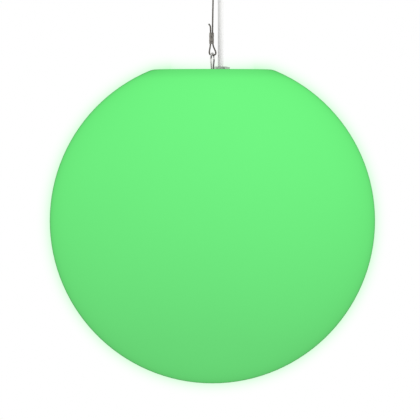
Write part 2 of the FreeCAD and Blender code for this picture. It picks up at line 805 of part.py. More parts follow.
def make_eye_bolt():
    """Eye bolt: a closed ring on a collar, with its shank through the lid."""
    ring = doc.addObject("Part::Torus", "eye_ring")
    ring.setExpression("Radius1", "places.eye_mean")
    ring.setExpression("Radius2", "sizes.eye_wire / 2")
    ring.Placement = FreeCAD.Placement(V(0, 0, 0), FreeCAD.Rotation(V(1, 0, 0), 90))
    ring_turned = doc.addObject("Part::Compound", "eye_ring_turned")
    ring_turned.Links = [ring]
    turn(ring_turned, "sizes.snap_turn - 90")
    place(ring_turned, up="places.eye_middle")
    collar_low = "places.lid_top + sizes.eye_washer_thick"
    collar = rod("eye_collar_disc", "sizes.eye_collar / 2",
                 f"places.eye_middle - places.eye_mean - ({collar_low})", up=collar_low)
    shank_low = "places.lid_under - sizes.eye_shank_below_lid"
    shank = rod("eye_shank_rod", "sizes.eye_shank / 2",
                f"{collar_low} - ({shank_low}) + sizes.eye_shank_in_collar", up=shank_low)
    keep(fuse("eye_bolt", [ring_turned, collar, shank]), "eye_bolt")


def make_eye_fasteners():
    bore = "sizes.eye_shank / 2 + sizes.thread_play"
    thick = "sizes.eye_washer_thick"
    group("eye_washers", [
        washer("eye_washer_top", "sizes.eye_washer_radius", bore, thick, "places.lid_top"),
        washer("eye_washer_under", "sizes.eye_washer_radius", bore, thick,
               f"places.lid_under - {thick}")])
    first = f"places.lid_under - {thick} - sizes.eye_nut_height"
    group("eye_nuts", [
        nut("eye_nut", "sizes.eye_nut_flats", "sizes.eye_nut_height", bore, up=first),
        nut("eye_locknut", "sizes.eye_nut_flats", "sizes.eye_nut_height", bore,
            up=f"{first} - sizes.eye_nut_height")])


def make_power_cable():
    """The free stretch of cable, held straight between its two glands."""
    keep(rod("power_cable", "sizes.cable_diameter / 2", "places.cable_length",
             "sizes.gland_right", "sizes.gland_behind", "places.cable_low"), "power_cable")


def tail_points(right, up, lean, rise):
    """Points of a rope's short tail, which leaves its ferrule straight and then curls left."""
    bends = [V(right - lean * leaned, 0, up + rise * risen) for risen, leaned in TAIL_BENDS]
    return bends + [V(right - lean, 0, up + rise)]


def rope_points():
    """The rope's route from its lower tail to its upper tail, in the plane of the loops."""
    half = value("sizes.loop_half_width")
    strand = value("sizes.strand_pitch") / 2
    low = value("sizes.lower_ferrule_right")
    high = value("sizes.upper_ferrule_right")
    loop = value("sizes.lower_loop_right")
    low_under, low_over = value("places.lower_ferrule_low"), value("places.lower_ferrule_high")
    high_under, high_over = value("places.upper_ferrule_low"), value("places.upper_ferrule_high")
    foot, top = value("places.loop_foot"), value("places.loop_top")
    corner = value("sizes.loop_corner")
    foot_shoulder = foot + value("sizes.lower_loop_shoulder")
    top_shoulder = top - value("sizes.upper_loop_shoulder")
    out = SLEEVE_EXIT
    lower_tail = tail_points(low - strand, low_over + out,
                             value("sizes.lower_tail_lean"), value("sizes.lower_tail_rise"))
    upper_tail = tail_points(high - strand, high_under - out,
                             value("sizes.upper_tail_lean"), -value("sizes.upper_tail_drop"))
    return lower_tail[::-1] + [
        V(low - strand, 0, low_over + out),
        V(low - strand, 0, low_under - out),
        V(loop - half, 0, foot_shoulder),
        V(loop - half + corner, 0, foot),
        V(loop + half - corner, 0, foot),
        V(loop + half, 0, foot_shoulder),
        V(low + strand, 0, low_under - out),
        V(low + strand, 0, low_over + out),
        V(high + strand, 0, high_under - out),
        V(high + strand, 0, high_over + out),
        V(half, 0, top_shoulder),
        V(half - corner, 0, top),
        V(-half + corner, 0, top),
        V(-half, 0, top_shoulder),
        V(high - strand, 0, high_over + out),
        V(high - strand, 0, high_under - out),
    ] + upper_tail


def make_rope():
    """Wire rope with a crimped loop at each end."""
    points = rope_points()
    heights = [value(f"places.{end}_ferrule_{edge}") + way * SLEEVE_EXIT
               for end in ("lower", "upper") for edge, way in (("low", -1), ("high", 1))]
    sleeves = {index: SLEEVE_REACH * SLEEVE_EXIT for index, point in enumerate(points)
               if any(abs(point.z - height) < 1e-6 for height in heights)}
    loose("wire_rope", wire("wire_rope", points, value("sizes.rope_diameter"), sleeves))


def make_ferrule(label, right, low):
    """Oval aluminium sleeve crimped over the rope and its tail, with two dents."""
    body = new_body(label)
    half_flat = "(sizes.ferrule_width - sizes.ferrule_depth) / 2"
    deep = "sizes.ferrule_depth / 2"
    sketch = new_sketch(body, label + "_section", "XY_Plane")
    left_end, right_end = V(-value(half_flat), 0, 0), V(value(half_flat), 0, 0)
    radius = value(deep)
    sketch.addGeometry(Part.LineSegment(left_end - V(0, radius, 0), right_end - V(0, radius, 0)))
    sketch.addGeometry(Part.ArcOfCircle(Part.Circle(right_end, UP, radius),
                                        -math.pi / 2, math.pi / 2))
    sketch.addGeometry(Part.LineSegment(right_end + V(0, radius, 0), left_end + V(0, radius, 0)))
    sketch.addGeometry(Part.ArcOfCircle(Part.Circle(left_end, UP, radius),
                                        math.pi / 2, math.pi * 3 / 2))
    for geometry, after in ((0, 1), (1, 2), (2, 3), (3, 0)):
        sketch.addConstraint(Sketcher.Constraint("Tangent", geometry, 2, after, 1))
    pin_point(sketch, 3, 3, f"-{half_flat}", "0")
    pin_point(sketch, 1, 3, half_flat, "0")
    number = sketch.addConstraint(Sketcher.Constraint("Radius", 1, radius))
    sketch.setExpression(f"Constraints[{number}]", deep)
    pad(body, sketch, "sizes.ferrule_height")
    strand = "sizes.rope_diameter / 2 + sizes.strand_play"
    channels = circles(new_sketch(body, label + "_channels", "XY_Plane", "sizes.ferrule_height"), [
        ("-sizes.strand_pitch / 2", "0", strand), ("sizes.strand_pitch / 2", "0", strand)])
    pocket(body, channels, "sizes.ferrule_height")
    place(body, right, "0", low)


def snap_frame():
    """The snap hook's own directions: across its bow and square to its plane."""
    angle = math.radians(value("sizes.snap_turn"))
    return V(math.cos(angle), math.sin(angle), 0), V(math.sin(angle), -math.cos(angle), 0)


def snap_leg():
    """Top, foot and direction of the gate's leg, in the hook's plane (across, up)."""
    top, foot = value("places.snap_top_centre"), value("places.snap_foot_centre")
    wide, narrow = value("sizes.snap_top_radius"), value("sizes.snap_foot_radius")
    lean = math.asin((wide - narrow) / (top - foot))
    high = (-wide * math.cos(lean), top - wide * math.sin(lean))
    low = (-narrow * math.cos(lean), foot - narrow * math.sin(lean))
    return high, low, lean


def in_plane(across, up, out=0.0):
    """A point given in the snap hook's plane."""
    bow, square = snap_frame()
    return bow * across + square * out + UP * up


def along_leg(share_from_top):
    """A point that far down the gate's leg from its top, with the leg's direction."""
    high, low, lean = snap_leg()
    top, foot = in_plane(*high), in_plane(*low)
    way = (foot - top).normalize()
    return top + way * share_from_top, way, (foot - top).Length


def gate_ends():
    """Distances down the gate's leg of the nose gap and of the hinge pin."""
    length = along_leg(0)[2]
    nose = value("sizes.gate_nose_from_top") - value("sizes.snap_top_radius")
    pin = length - (value("sizes.gate_foot_from_foot") - value("sizes.snap_foot_radius"))
    return nose, pin


def block_on_leg(start, stop, wide, thick):
    """A flat bar along the gate's leg, wide in the hook's plane and thick across it."""
    origin, way, _ = along_leg(start)
    square = snap_frame()[1]
    across = square.cross(way).normalize()
    corner = origin - across * wide / 2 - square * thick / 2
    corners = [corner, corner + across * wide, corner + across * wide + square * thick,
               corner + square * thick, corner]
    return Part.Face(Part.makePolygon(corners)).extrude(way * (stop - start))


def make_snap_hook():
    """Pear shaped hook of round wire, open on one leg for the gate."""
    diameter = value("sizes.snap_wire")
    tang = value("sizes.tang_thick")
    top, foot = value("places.snap_top_centre"), value("places.snap_foot_centre")
    wide, narrow = value("sizes.snap_top_radius"), value("sizes.snap_foot_radius")
    high, low, lean = snap_leg()
    nose, pin = gate_ends()
    nose_point, way, length = along_leg(nose)
    edges = [
        Part.LineSegment(nose_point, in_plane(*high)).toShape(),
        Part.Arc(in_plane(*high), in_plane(0, top + wide), in_plane(-high[0], high[1])).toShape(),
        Part.LineSegment(in_plane(-high[0], high[1]), in_plane(-low[0], low[1])).toShape(),
        Part.Arc(in_plane(-low[0], low[1]), in_plane(0, foot - narrow), in_plane(*low)).toShape(),
    ]
    path = Part.Wire(edges)
    profile = Part.Wire(Part.Circle(nose_point, way, diameter / 2).toShape())
    ring = path.makePipeShell([profile], True, False)
    tongue = block_on_leg(pin - value("sizes.tang_above_pin"),
                          length + value("sizes.tang_in_foot"), diameter * TANG_WIDE, tang)
    pin_hole = Part.makeCylinder(value("sizes.gate_pin") / 2, tang * 2,
                                 along_leg(pin)[0] - snap_frame()[1] * tang, snap_frame()[1])
    loose("snap_hook_body", ring.fuse(tongue).cut(pin_hole).removeSplitter())


def make_gate():
    """Gate of the snap hook: a round rod with a fork on the hinge pin."""
    diameter = value("sizes.snap_wire")
    tang = value("sizes.tang_thick")
    play = value("sizes.gate_play")
    ear_play = value("sizes.ear_play")
    nose, pin = gate_ends()
    start, way, length = along_leg(nose + play)
    square = snap_frame()[1]
    pin_at = along_leg(pin)[0]
    stop = pin + diameter * GATE_PAST_PIN
    bar = Part.makeCylinder(diameter / 2, stop - nose - play, start, way)
    fork = pin - value("sizes.tang_above_pin") - 2 * play
    slot = block_on_leg(fork, stop + diameter, diameter * FORK_WIDE, tang + 2 * ear_play)
    wide = value("sizes.gate_spring_width")
    thick = value("sizes.gate_spring_thick")
    room = value("sizes.gate_spring_play")
    low = fork - value("sizes.gate_spring_length")
    channel = block_on_leg(low, fork + room, thick + room, wide + room)
    hole = Part.makeCylinder(value("sizes.gate_pin") / 2 + value("sizes.gate_pin_play"),
                             diameter * 2, pin_at - square * diameter, square)
    loose("snap_hook_gate", bar.cut(slot).cut(channel).cut(hole))
    loose("gate_spring", block_on_leg(low + room / 2, fork + room, thick, wide))
    loose("gate_pin", Part.makeCylinder(value("sizes.gate_pin") / 2, diameter * PIN_LONG,
                                        pin_at - square * diameter * PIN_LONG / 2, square))


def make_ceiling_hook():
    """Open hook of round steel with a straight shank through the canopy."""
    wire_size = value("sizes.hook_wire")
    mean, neck = value("sizes.hook_mean_radius"), value("sizes.hook_neck_radius")
    middle = value("places.hook_middle")
    lift = math.asin(neck / (mean + neck))
    leave = V(0, mean * math.sin(lift), middle + mean * math.cos(lift))
    rise = V(0, 0, middle + (mean + neck) * math.cos(lift))
    neck_centre = V(0, neck, rise.z)
    half_way = (leave - neck_centre).normalize() + V(0, -1, 0)
    neck_middle = neck_centre + half_way.normalize() * neck
    tip_angle = math.radians(value("sizes.hook_tip_angle"))

    def on_ring(angle):
        return V(0, mean * math.sin(angle), middle + mean * math.cos(angle))

    tip = on_ring(lift + 2 * math.pi - tip_angle / 2)
    opposite = on_ring((2 * lift + 2 * math.pi - tip_angle / 2) / 2)
    path = Part.Wire([
        Part.LineSegment(V(0, 0, -value("sizes.hook_shank_top")), rise).toShape(),
        Part.Arc(rise, neck_middle, leave).toShape(),
        Part.Arc(leave, opposite, tip).toShape()])
    start = V(0, 0, -value("sizes.hook_shank_top"))
    profile = Part.Wire(Part.Circle(start, UP * -1, wire_size / 2).toShape())
    bent = path.makePipeShell([profile], True, False)
    loose("ceiling_hook", bent.fuse(Part.makeSphere(wire_size / 2, tip)).removeSplitter())


def make_hook_fasteners():
    bore = "sizes.hook_wire / 2 + sizes.thread_play"
    thick = "sizes.hook_washer_thick"
    high = "sizes.hook_nut_height"
    group("hook_washers", [
        washer("hook_washer_top", "sizes.hook_washer_radius", bore, thick, "places.strap_seat"),
        washer("hook_washer_under", "sizes.hook_washer_radius", bore, thick,
               f"places.strap_under - {thick}")])
    group("hook_nuts", [
        nut("hook_nut_top", "sizes.hook_nut_flats", high, bore, up=f"places.strap_seat + {thick}"),
        nut("hook_nut_under", "sizes.hook_nut_flats", high, bore,
            up=f"places.strap_under - {thick} - {high}")])


def make_ceiling_strap():
    """Bent steel strap: two feet with slots on the ceiling and a lowered middle."""
    body = new_body("ceiling_strap")
    span, thick, foot = "places.strap_half_span", "sizes.strap_thick", "sizes.strap_foot"
    deep = "sizes.strap_depth"
    side = new_sketch(body, "strap_side", "XZ_Plane")
    outline(side, [
        (f"-{span} - {foot}", "0"), (f"-{span} - {foot}", f"-{thick}"), (f"-{span}", f"-{thick}"),
        (f"-{span}", f"-{deep}"), (span, f"-{deep}"), (span, f"-{thick}"),
        (f"{span} + {foot}", f"-{thick}"), (f"{span} + {foot}", "0"),
        (f"{span} - {thick}", "0"), (f"{span} - {thick}", f"-{deep} + {thick}"),
        (f"-{span} + {thick}", f"-{deep} + {thick}"), (f"-{span} + {thick}", "0")])
    pad(body, side, "sizes.strap_width", midplane=True)
    half, end = "places.slot_spacing / 2", "(sizes.slot_length - sizes.slot_width) / 2"
    wide = "sizes.slot_width / 2"
    slots = new_sketch(body, "strap_slots", "XY_Plane")
    for index, way in enumerate((-1, 1)):
        add_slot(slots, index * 4, f"{way} * {half}", end, wide)
    pocket(body, slots, deep)
    hole = circles(new_sketch(body, "strap_hole", "XY_Plane"),
                   [("0", "0", "sizes.hook_wire / 2 + sizes.screw_play")])
    pocket(body, hole, deep)


def add_slot(sketch, first, middle, end, wide):
    """A slot along X about the given middle."""
    centre_left = V(value(f"{middle} - {end}"), 0, 0)
    centre_right = V(value(f"{middle} + {end}"), 0, 0)
    radius = value(wide)
    drop = V(0, radius, 0)
    sketch.addGeometry(Part.LineSegment(centre_left - drop, centre_right - drop))
    sketch.addGeometry(Part.ArcOfCircle(Part.Circle(centre_right, UP, radius),
                                        -math.pi / 2, math.pi / 2))
    sketch.addGeometry(Part.LineSegment(centre_right + drop, centre_left + drop))
    sketch.addGeometry(Part.ArcOfCircle(Part.Circle(centre_left, UP, radius),
                                        math.pi / 2, math.pi * 3 / 2))
    for geometry in range(4):
        sketch.addConstraint(Sketcher.Constraint(
            "Tangent", first + geometry, 2, first + (geometry + 1) % 4, 1))
    pin_point(sketch, first + 3, 3, f"{middle} - {end}", "0")
    pin_point(sketch, first + 1, 3, f"{middle} + {end}", "0")
    number = sketch.addConstraint(Sketcher.Constraint("Radius", first + 1, radius))
    sketch.setExpression(f"Constraints[{number}]", wide)


def make_canopy():
    """Drawn steel cup that closes against the ceiling, with a rounded lower edge."""
    radius, wall, deep, edge = ("sizes.canopy_radius", "sizes.canopy_wall",
                                "sizes.canopy_depth", "sizes.canopy_edge")
    body = turned("canopy_cover", [
        ("sizes.hook_wire / 2 + sizes.screw_play", f"-{deep}"), (f"{radius} - {edge}", f"-{deep}"),
        (radius, f"-{deep} + {edge}"), (radius, "0"), (f"{radius} - {wall}", "0"),
        (f"{radius} - {wall}", f"-{deep} + {edge}"),
        (f"{radius} - {edge}", f"-{deep} + {wall}"),
        ("sizes.hook_wire / 2 + sizes.screw_play", f"-{deep} + {wall}")],
        {1: (edge, 1), 5: (f"{edge} - {wall}", -1)})
    hole = circles(new_sketch(body, "canopy_gland_hole", "XY_Plane", f"-{deep} + {wall}"),
                   [("sizes.gland_right", "sizes.gland_behind",
                     "sizes.gland_thread / 2 + sizes.hole_play")])
    pocket(body, hole, wall)


def make_canopy_nut():
    """Domed nut on the hook's shank that holds the canopy up."""
    bore = "sizes.hook_wire / 2 + sizes.thread_play"
    radius, high = "sizes.canopy_nut_radius", "sizes.canopy_nut_height"
    body = turned("canopy_nut", [
        (bore, f"-{high}"), (f"{radius} * {DOME_FLAT}", f"-{high}"),
        (radius, f"-{high} * {DOME_SIDE}"), (radius, "0"), (bore, "0")],
        {1: (f"{radius} * {DOME_CURVE}", 1)})
    place(body, up="places.canopy_under")


def make_terminal_block():
    """Three-way terminal block under the strap, its screws and the cores that reach it."""
    pitch, deep, high = "sizes.block_pitch", "sizes.block_depth", "sizes.block_height"
    left = "-sizes.block_left - 1.5 * sizes.block_pitch"
    block = slab("block_slab", f"3 * {pitch}", deep, high, left, f"-{deep} / 2",
                 f"places.strap_under - {high}")
    bores = []
    screws = []
    for way in (-1, 0, 1):
        across = f"-sizes.block_left + {way} * {pitch}"
        tunnel = doc.addObject("Part::Cylinder", f"block_bore{way + 1}")
        tunnel.Placement = FreeCAD.Placement(V(0, 0, 0), FreeCAD.Rotation(V(1, 0, 0), 90))
        tunnel.setExpression("Radius", "sizes.block_bore / 2")
        tunnel.setExpression("Height", deep)
        place(tunnel, across, f"{deep} / 2", "places.block_middle")
        bores.append(tunnel)
        for side in (-1, 1):
            name = f"block_screw{way + 1}{'a' if side < 0 else 'b'}"
            behind = f"{side} * {deep} / 4"
            low = f"places.strap_under - {high}"
            bores.append(rod(name + "_well", "sizes.block_screw_radius + sizes.block_screw_play",
                             f"{high} / 2", across, behind, low))
            screws.append(rod(name, "sizes.block_screw_radius",
                              f"({high} - sizes.block_bore) / 2 - sizes.block_screw_sunk",
                              across, behind, f"{low} + sizes.block_screw_sunk"))
    keep(cut("terminal_block", block, fuse("block_voids", bores)), "terminal_block")
    group("terminal_screws", screws)


def make_canopy_cores():
    """Three cores from the cable's end in the canopy to the terminal block."""
    size = value("sizes.core_diameter")
    right, behind = value("sizes.gland_right"), value("sizes.gland_behind")
    start, level = value("places.canopy_cable_end"), value("places.block_middle")
    inside = value("sizes.block_depth / 2 - sizes.canopy_core_into_block")
    for way, name in ((-1, "canopy_live_core"), (0, "canopy_neutral_core"),
                      (1, "canopy_earth_core")):
        across = -value("sizes.block_left") + way * value("sizes.block_pitch")
        lane = behind - way * value("sizes.canopy_core_step_behind")
        offset = right + (way * 2 - 1) * value("sizes.canopy_core_step_right") / 4
        high = level - way * value("sizes.canopy_core_step_up")
        loose(name, wire(name, [
            V(offset, lane, start), V(offset, lane, high),
            V(across, lane, high), V(across, inside, level)], size))


def make_holder_strap():
    """U-shaped steel strap that hangs the lampholder under the lid."""
    body = new_body("holder_strap")
    span, thick = "sizes.holder_strap_half_span", "sizes.holder_strap_thick"
    tab, deep = "sizes.holder_strap_tab", "sizes.holder_strap_height"
    side = new_sketch(body, "holder_side", "XZ_Plane")
    outline(side, [
        (f"-{span} + {tab}", "0"), (f"-{span}", "0"), (f"-{span}", f"-{deep}"),
        (span, f"-{deep}"), (span, "0"), (f"{span} - {tab}", "0"),
        (f"{span} - {tab}", f"-{thick}"), (f"{span} - {thick}", f"-{thick}"),
        (f"{span} - {thick}", f"-{deep} + {thick}"), (f"-{span} + {thick}", f"-{deep} + {thick}"),
        (f"-{span} + {thick}", f"-{thick}"), (f"-{span} + {tab}", f"-{thick}")])
    pad(body, side, "sizes.holder_strap_width", midplane=True)
    web_hole = circles(new_sketch(body, "holder_web_hole", "XY_Plane", f"-{deep} + 2 * {thick}"),
                       [("0", "0", "sizes.nipple_radius + sizes.hole_play")])
    pocket(body, web_hole, f"2 * {thick}")
    across = "sizes.holder_screw_spacing / 2"
    tab_holes = circles(new_sketch(body, "holder_tab_holes", "XY_Plane"), [
        (across, "0", "sizes.holder_screw_radius + sizes.thread_play"),
        (f"-{across}", "0", "sizes.holder_screw_radius + sizes.thread_play")])
    pocket(body, tab_holes, f"2 * {thick}")
    leg_hole = circles(new_sketch(body, "holder_earth_hole", "YZ_Plane"),
                       [("0", "-sizes.earth_screw_below_lid",
                         "sizes.earth_screw_radius + sizes.thread_play")])
    pocket(body, leg_hole, f"2 * {span}", up=True)
    turn(body, "places.strap_bearing")
    place(body, up="places.lid_under")


def make_holder_screws():
    across = "sizes.holder_screw_spacing / 2"
    group("holder_screws", [
        screw(f"holder_screw{number}", "sizes.holder_screw_radius", "sizes.holder_screw_length",
              "sizes.holder_screw_head_radius", "sizes.holder_screw_head_height",
              f"{way} * {across} * cos(places.strap_bearing)",
              f"{way} * {across} * sin(places.strap_bearing)", "places.lid_top")
        for number, way in enumerate((-1, 1))])


def make_lampholder():
    """Lampholder: nipple and nut, cap, insulating core, sleeve and contacts."""
    s = "sizes."
    top = f"{s}nipple_above_strap + {s}holder_strap_thick"
    nipple = turned("nipple", [
        (f"{s}nipple_bore / 2", f"{top} - {s}nipple_length"),
        (f"{s}nipple_radius", f"{top} - {s}nipple_length"), (f"{s}nipple_radius", top),
        (f"{s}nipple_bore / 2", top)])
    place(nipple, up="places.web_under")
    keep(nut("nipple_nut", f"{s}nipple_nut_flats", f"{s}nipple_nut_height",
             f"{s}nipple_radius + {s}thread_play", up="places.web_top"), "nipple_nut")
    wall = f"{s}holder_wall"
    low = f"-{s}holder_cap_height"
    bore = f"{s}nipple_radius + {s}thread_play"
    skirt = f"{low} + {s}holder_cap_skirt"
    cap = turned("lampholder_cap", [
        (bore, "0"), (bore, f"-{s}holder_cap_boss"),
        (f"{s}holder_cap_top_radius - {wall}", f"-{s}holder_cap_boss"),
        (f"{s}holder_radius - {wall}", skirt), (f"{s}holder_radius - {wall}", low),
        (f"{s}holder_radius", low), (f"{s}holder_radius", skirt),
        (f"{s}holder_cap_top_radius", f"-{s}holder_cap_chamfer"),
        (f"{s}holder_cap_top_radius - {s}holder_cap_chamfer", "0")])
    place(cap, up="places.web_under")
    foot = f"-{s}holder_sleeve_height"
    sleeve = turned("lampholder_sleeve", [
        (f"{s}holder_radius - {wall}", "0"), (f"{s}holder_radius", "0"),
        (f"{s}holder_radius", f"{foot} + {s}holder_sleeve_chamfer"),
        (f"{s}holder_radius - {s}holder_sleeve_chamfer", foot),
        (f"{s}holder_sleeve_mouth", foot), (f"{s}holder_sleeve_mouth", f"{foot} + {wall}"),
        (f"{s}holder_radius - {wall}", f"{foot} + {wall} + {s}holder_sleeve_chamfer")])
    place(sleeve, up="places.sleeve_top")
    core = new_body("lampholder_core")
    disc = circles(new_sketch(core, "core_disc", "XY_Plane"),
                   [("0", "0", f"{s}holder_core_radius")])
    pad(core, disc, f"{s}holder_core_height")
    well = f"{s}core_diameter / 2 + {s}holder_core_well_play"
    wells = circles(new_sketch(core, "core_wells", "XY_Plane", f"{s}holder_core_height"), [
        (f"-{s}holder_core_well_right", "0", well), (f"{s}holder_core_well_right", "0", well)])
    pocket(core, wells, f"{s}holder_core_well_depth")
    lip = circles(new_sketch(core, "core_lip", "XY_Plane", f"{s}holder_core_height / 2"), [
        ("0", "0", f"{s}holder_radius - {wall} - {s}hole_play")])
    pad(core, lip, f"{s}holder_core_lip", down=True)
    place(core, up="places.core_under")
    shell = turned("screw_shell_contact", [
        (f"{s}contact_inner_radius", f"-{s}contact_height"),
        (f"{s}contact_inner_radius + {s}contact_wall", f"-{s}contact_height"),
        (f"{s}contact_inner_radius + {s}contact_wall", "0"),
        (f"{s}contact_hole", "0"), (f"{s}contact_hole", f"-{s}contact_wall"),
        (f"{s}contact_inner_radius", f"-{s}contact_wall")])
    place(shell, up="places.core_under")
    tongue = turned("centre_contact", [
        ("0", f"-{s}contact_spring"), (f"{s}contact_spring_tip_radius", f"-{s}contact_spring"),
        (f"{s}contact_spring_top_radius", "0"), ("0", "0")])
    place(tongue, up="places.core_under")


def strap_point(along, toward_gland, up):
    """A point in the holder strap's own directions."""
    bearing = math.radians(value("places.strap_bearing"))
    first = V(math.cos(bearing), math.sin(bearing), 0)
    second = V(-math.sin(bearing), math.cos(bearing), 0)
    return first * along + second * toward_gland + UP * up


def make_lamp_cores():
    """Live and neutral cores into the lampholder, and the earth core to the strap."""
    size = value("sizes.core_diameter")
    step = value("sizes.core_spacing") / 2
    out = value("places.gland_offset")
    start = value("places.lamp_cable_end")
    level = start - value("sizes.lamp_core_level")
    into = value("places.core_top - sizes.lamp_core_in_well")
    spread_high = value("places.web_under - sizes.lamp_core_spread_high")
    spread_low = value("places.web_under - sizes.lamp_core_spread_low")
    well = value("sizes.holder_core_well_right")
    for side, name in ((-1, "live_core"), (1, "neutral_core")):
        loose(name, wire(name, [
            strap_point(side * step, out, start), strap_point(side * step, out, level),
            strap_point(side * step, 0, level), strap_point(side * step, 0, spread_high),
            V(side * well, 0, spread_low), V(side * well, 0, into)], size))
    leg = value("sizes.holder_strap_half_span - sizes.holder_strap_thick - sizes.earth_core_short")
    screw_up = value("places.lid_under - sizes.earth_screw_below_lid")
    earth_lane = out + value("sizes.earth_core_lane")
    loose("earth_core", wire("earth_core", [
        strap_point(0, earth_lane, start), strap_point(0, earth_lane, screw_up),
        strap_point(leg, value("sizes.earth_core_side"), screw_up)], size))


def make_earth_screw():
    """Earth screw through the strap's leg, with its head on the inside."""
    bearing = math.radians(value("places.strap_bearing"))
    way = V(math.cos(bearing), math.sin(bearing), 0)
    face = value("sizes.holder_strap_half_span - sizes.holder_strap_thick")
    seat = strap_point(face, 0, value("places.lid_under - sizes.earth_screw_below_lid"))
    head_radius = value("sizes.earth_screw_head_radius")
    head_height = value("sizes.earth_screw_head_height")
    top = seat - way * head_height
    head = Part.makeCylinder(head_radius, head_height, top, way)
    shank = Part.makeCylinder(value("sizes.earth_screw_radius"),
                              value("sizes.holder_strap_thick + sizes.earth_screw_past_strap"),
                              seat, way)
    deep, wide = value("sizes.earth_screw_slot_depth"), value("sizes.earth_screw_slot")
    slot = Part.makeBox(2 * deep, 2 * head_radius, wide, V(-deep, -head_radius, -wide / 2))
    slot.rotate(V(0, 0, 0), UP, math.degrees(bearing))
    slot.translate(top)
    loose("earth_screw", head.fuse(shank).cut(slot))


def make_lamp():
    """Colour lamp: screw cap, contact tip, housing, boards, light emitters and dome."""
    s = "sizes."
    cap_bore = f"{s}lamp_cap_radius - {s}lamp_cap_wall"
    hole_edge = f"{s}lamp_tip_radius + {s}lamp_cap_hole_edge"
    cap = turned("lamp_cap", [
        (cap_bore, f"-{s}lamp_cap_height"), (f"{s}lamp_cap_radius", f"-{s}lamp_cap_height"),
        (f"{s}lamp_cap_radius", f"-{s}lamp_cap_shoulder"), (hole_edge, "0"),
        (f"{hole_edge} - {s}lamp_cap_wall", f"-{s}lamp_cap_wall"),
        (cap_bore, f"-{s}lamp_cap_shoulder - {s}lamp_cap_wall")])
    place(cap, up="places.lamp_cap_top")
    tip_low = f"-{s}lamp_tip_height - {s}lamp_tip_in_cap"
    tip = turned("lamp_tip", [
        ("0", tip_low), (f"{s}lamp_tip_radius", tip_low),
        (f"{s}lamp_tip_radius", f"-{s}lamp_tip_height"),
        (f"{s}lamp_tip_top_radius", f"-{s}lamp_tip_crown"), ("0", "0")])
    place(tip, up="places.lamp_top")
    deep = f"-{s}lamp_housing_height"
    collar = f"-{s}lamp_housing_collar"
    plug = f"{cap_bore} - {s}thread_play"
    housing = turned("lamp_housing", [
        (f"{plug} - {s}lamp_wall", f"{s}lamp_housing_in_cap"), (f"{plug} - {s}lamp_wall", collar),
        (f"{s}lamp_radius - {s}lamp_wall", deep), (f"{s}lamp_radius", deep),
        (f"{s}lamp_radius", f"{deep} + {s}lamp_housing_rim"), (f"{s}lamp_housing_neck", collar),
        (f"{s}lamp_housing_neck", "0"), (plug, "0"), (plug, f"{s}lamp_housing_in_cap")])
    place(housing, up="places.lamp_cap_under")
    board_low = f"places.lamp_rim + {s}lamp_board_above_rim"
    keep(rod("lamp_board", f"{s}lamp_board_radius", f"{s}lamp_board_thick", up=board_low),
         "lamp_board")
    count = int(value(f"{s}led_count"))
    group("lamp_emitters", [
        slab(f"emitter{number}", f"{s}led_side", f"{s}led_side", f"{s}led_height",
             f"{s}led_circle * cos(360 * {number} / {s}led_count) - {s}led_side / 2",
             f"{s}led_circle * sin(360 * {number} / {s}led_count) - {s}led_side / 2",
             f"{board_low} - {s}led_height")
        for number in range(count)])
    keep(slab("lamp_driver_board", f"{s}driver_width", f"{s}lamp_board_thick", f"{s}driver_height",
              f"-{s}driver_width / 2", f"-{s}lamp_board_thick / 2",
              f"{board_low} + {s}lamp_board_thick"), "lamp_driver_board")
    outer, inner = f"{s}lamp_radius", f"{s}lamp_radius - {s}lamp_wall"
    dome = turned("lamp_dome", [
        ("0", f"-{outer}"), (outer, "0"), (inner, "0"), ("0", f"-{outer} + {s}lamp_wall")],
        {0: (outer, 1), 2: (inner, -1)})
    place(dome, up="places.lamp_rim")


def make_ceiling_end():
    make_ceiling_strap()
    make_ceiling_hook()
    make_hook_fasteners()
    make_canopy()
    make_canopy_nut()
    gland_at("canopy_gland", "sizes.gland_right", "sizes.gland_behind", "places.canopy_under",
             -1, "sizes.canopy_wall", "places.canopy_cable_end")
    make_terminal_block()
    make_canopy_cores()


def make_links():
    make_power_cable()
    make_rope()
    make_ferrule("lower_ferrule", "sizes.lower_ferrule_right", "places.lower_ferrule_low")
    make_ferrule("upper_ferrule", "sizes.upper_ferrule_right", "places.upper_ferrule_low")
    make_snap_hook()
    make_gate()


def make_globe_end():
    make_globe_shell()
    make_collar()
    make_inserts()
    make_lid()
    make_gasket()
    make_lid_screws()
    make_eye_bolt()
    make_eye_fasteners()
    gland_at("lid_gland", "sizes.gland_right", "sizes.gland_behind", "places.lid_top",
             1, "sizes.lid_thick", "places.lamp_cable_end")
    make_holder_strap()
    make_holder_screws()
    make_lampholder()
    make_lamp_cores()
    make_earth_screw()
    make_lamp()


def check_everything():
    """Stop on any failed object or bad solid before a file is written."""
    doc.recompute()
    for thing in doc.Objects:
        if "Invalid" in thing.State or "Error" in thing.State:
            raise ValueError(f"{thing.Name} failed: {thing.State}")
    for node in nodes:
        if node.Shape.isNull() or not node.Shape.isValid() or not node.Shape.Solids:
            raise ValueError(node.Label + " has no valid solid")


def export_everything():
    os.makedirs("parts", exist_ok=True)
    for node in nodes:
        node.Shape.exportStep(f"parts/{node.Label}.step")
        box = node.Shape.BoundBox
        print(f"{node.Label}: {len(node.Shape.Solids)} solids, {node.Shape.Volume:.0f} mm3, "
              f"x {box.XMin:.1f}..{box.XMax:.1f}, y {box.YMin:.1f}..{box.YMax:.1f}, "
              f"z {box.ZMin:.1f}..{box.ZMax:.1f}")
    print(len(nodes), "sub-parts")


make_ceiling_end()
make_links()
make_globe_end()
check_everything()
export_everything()
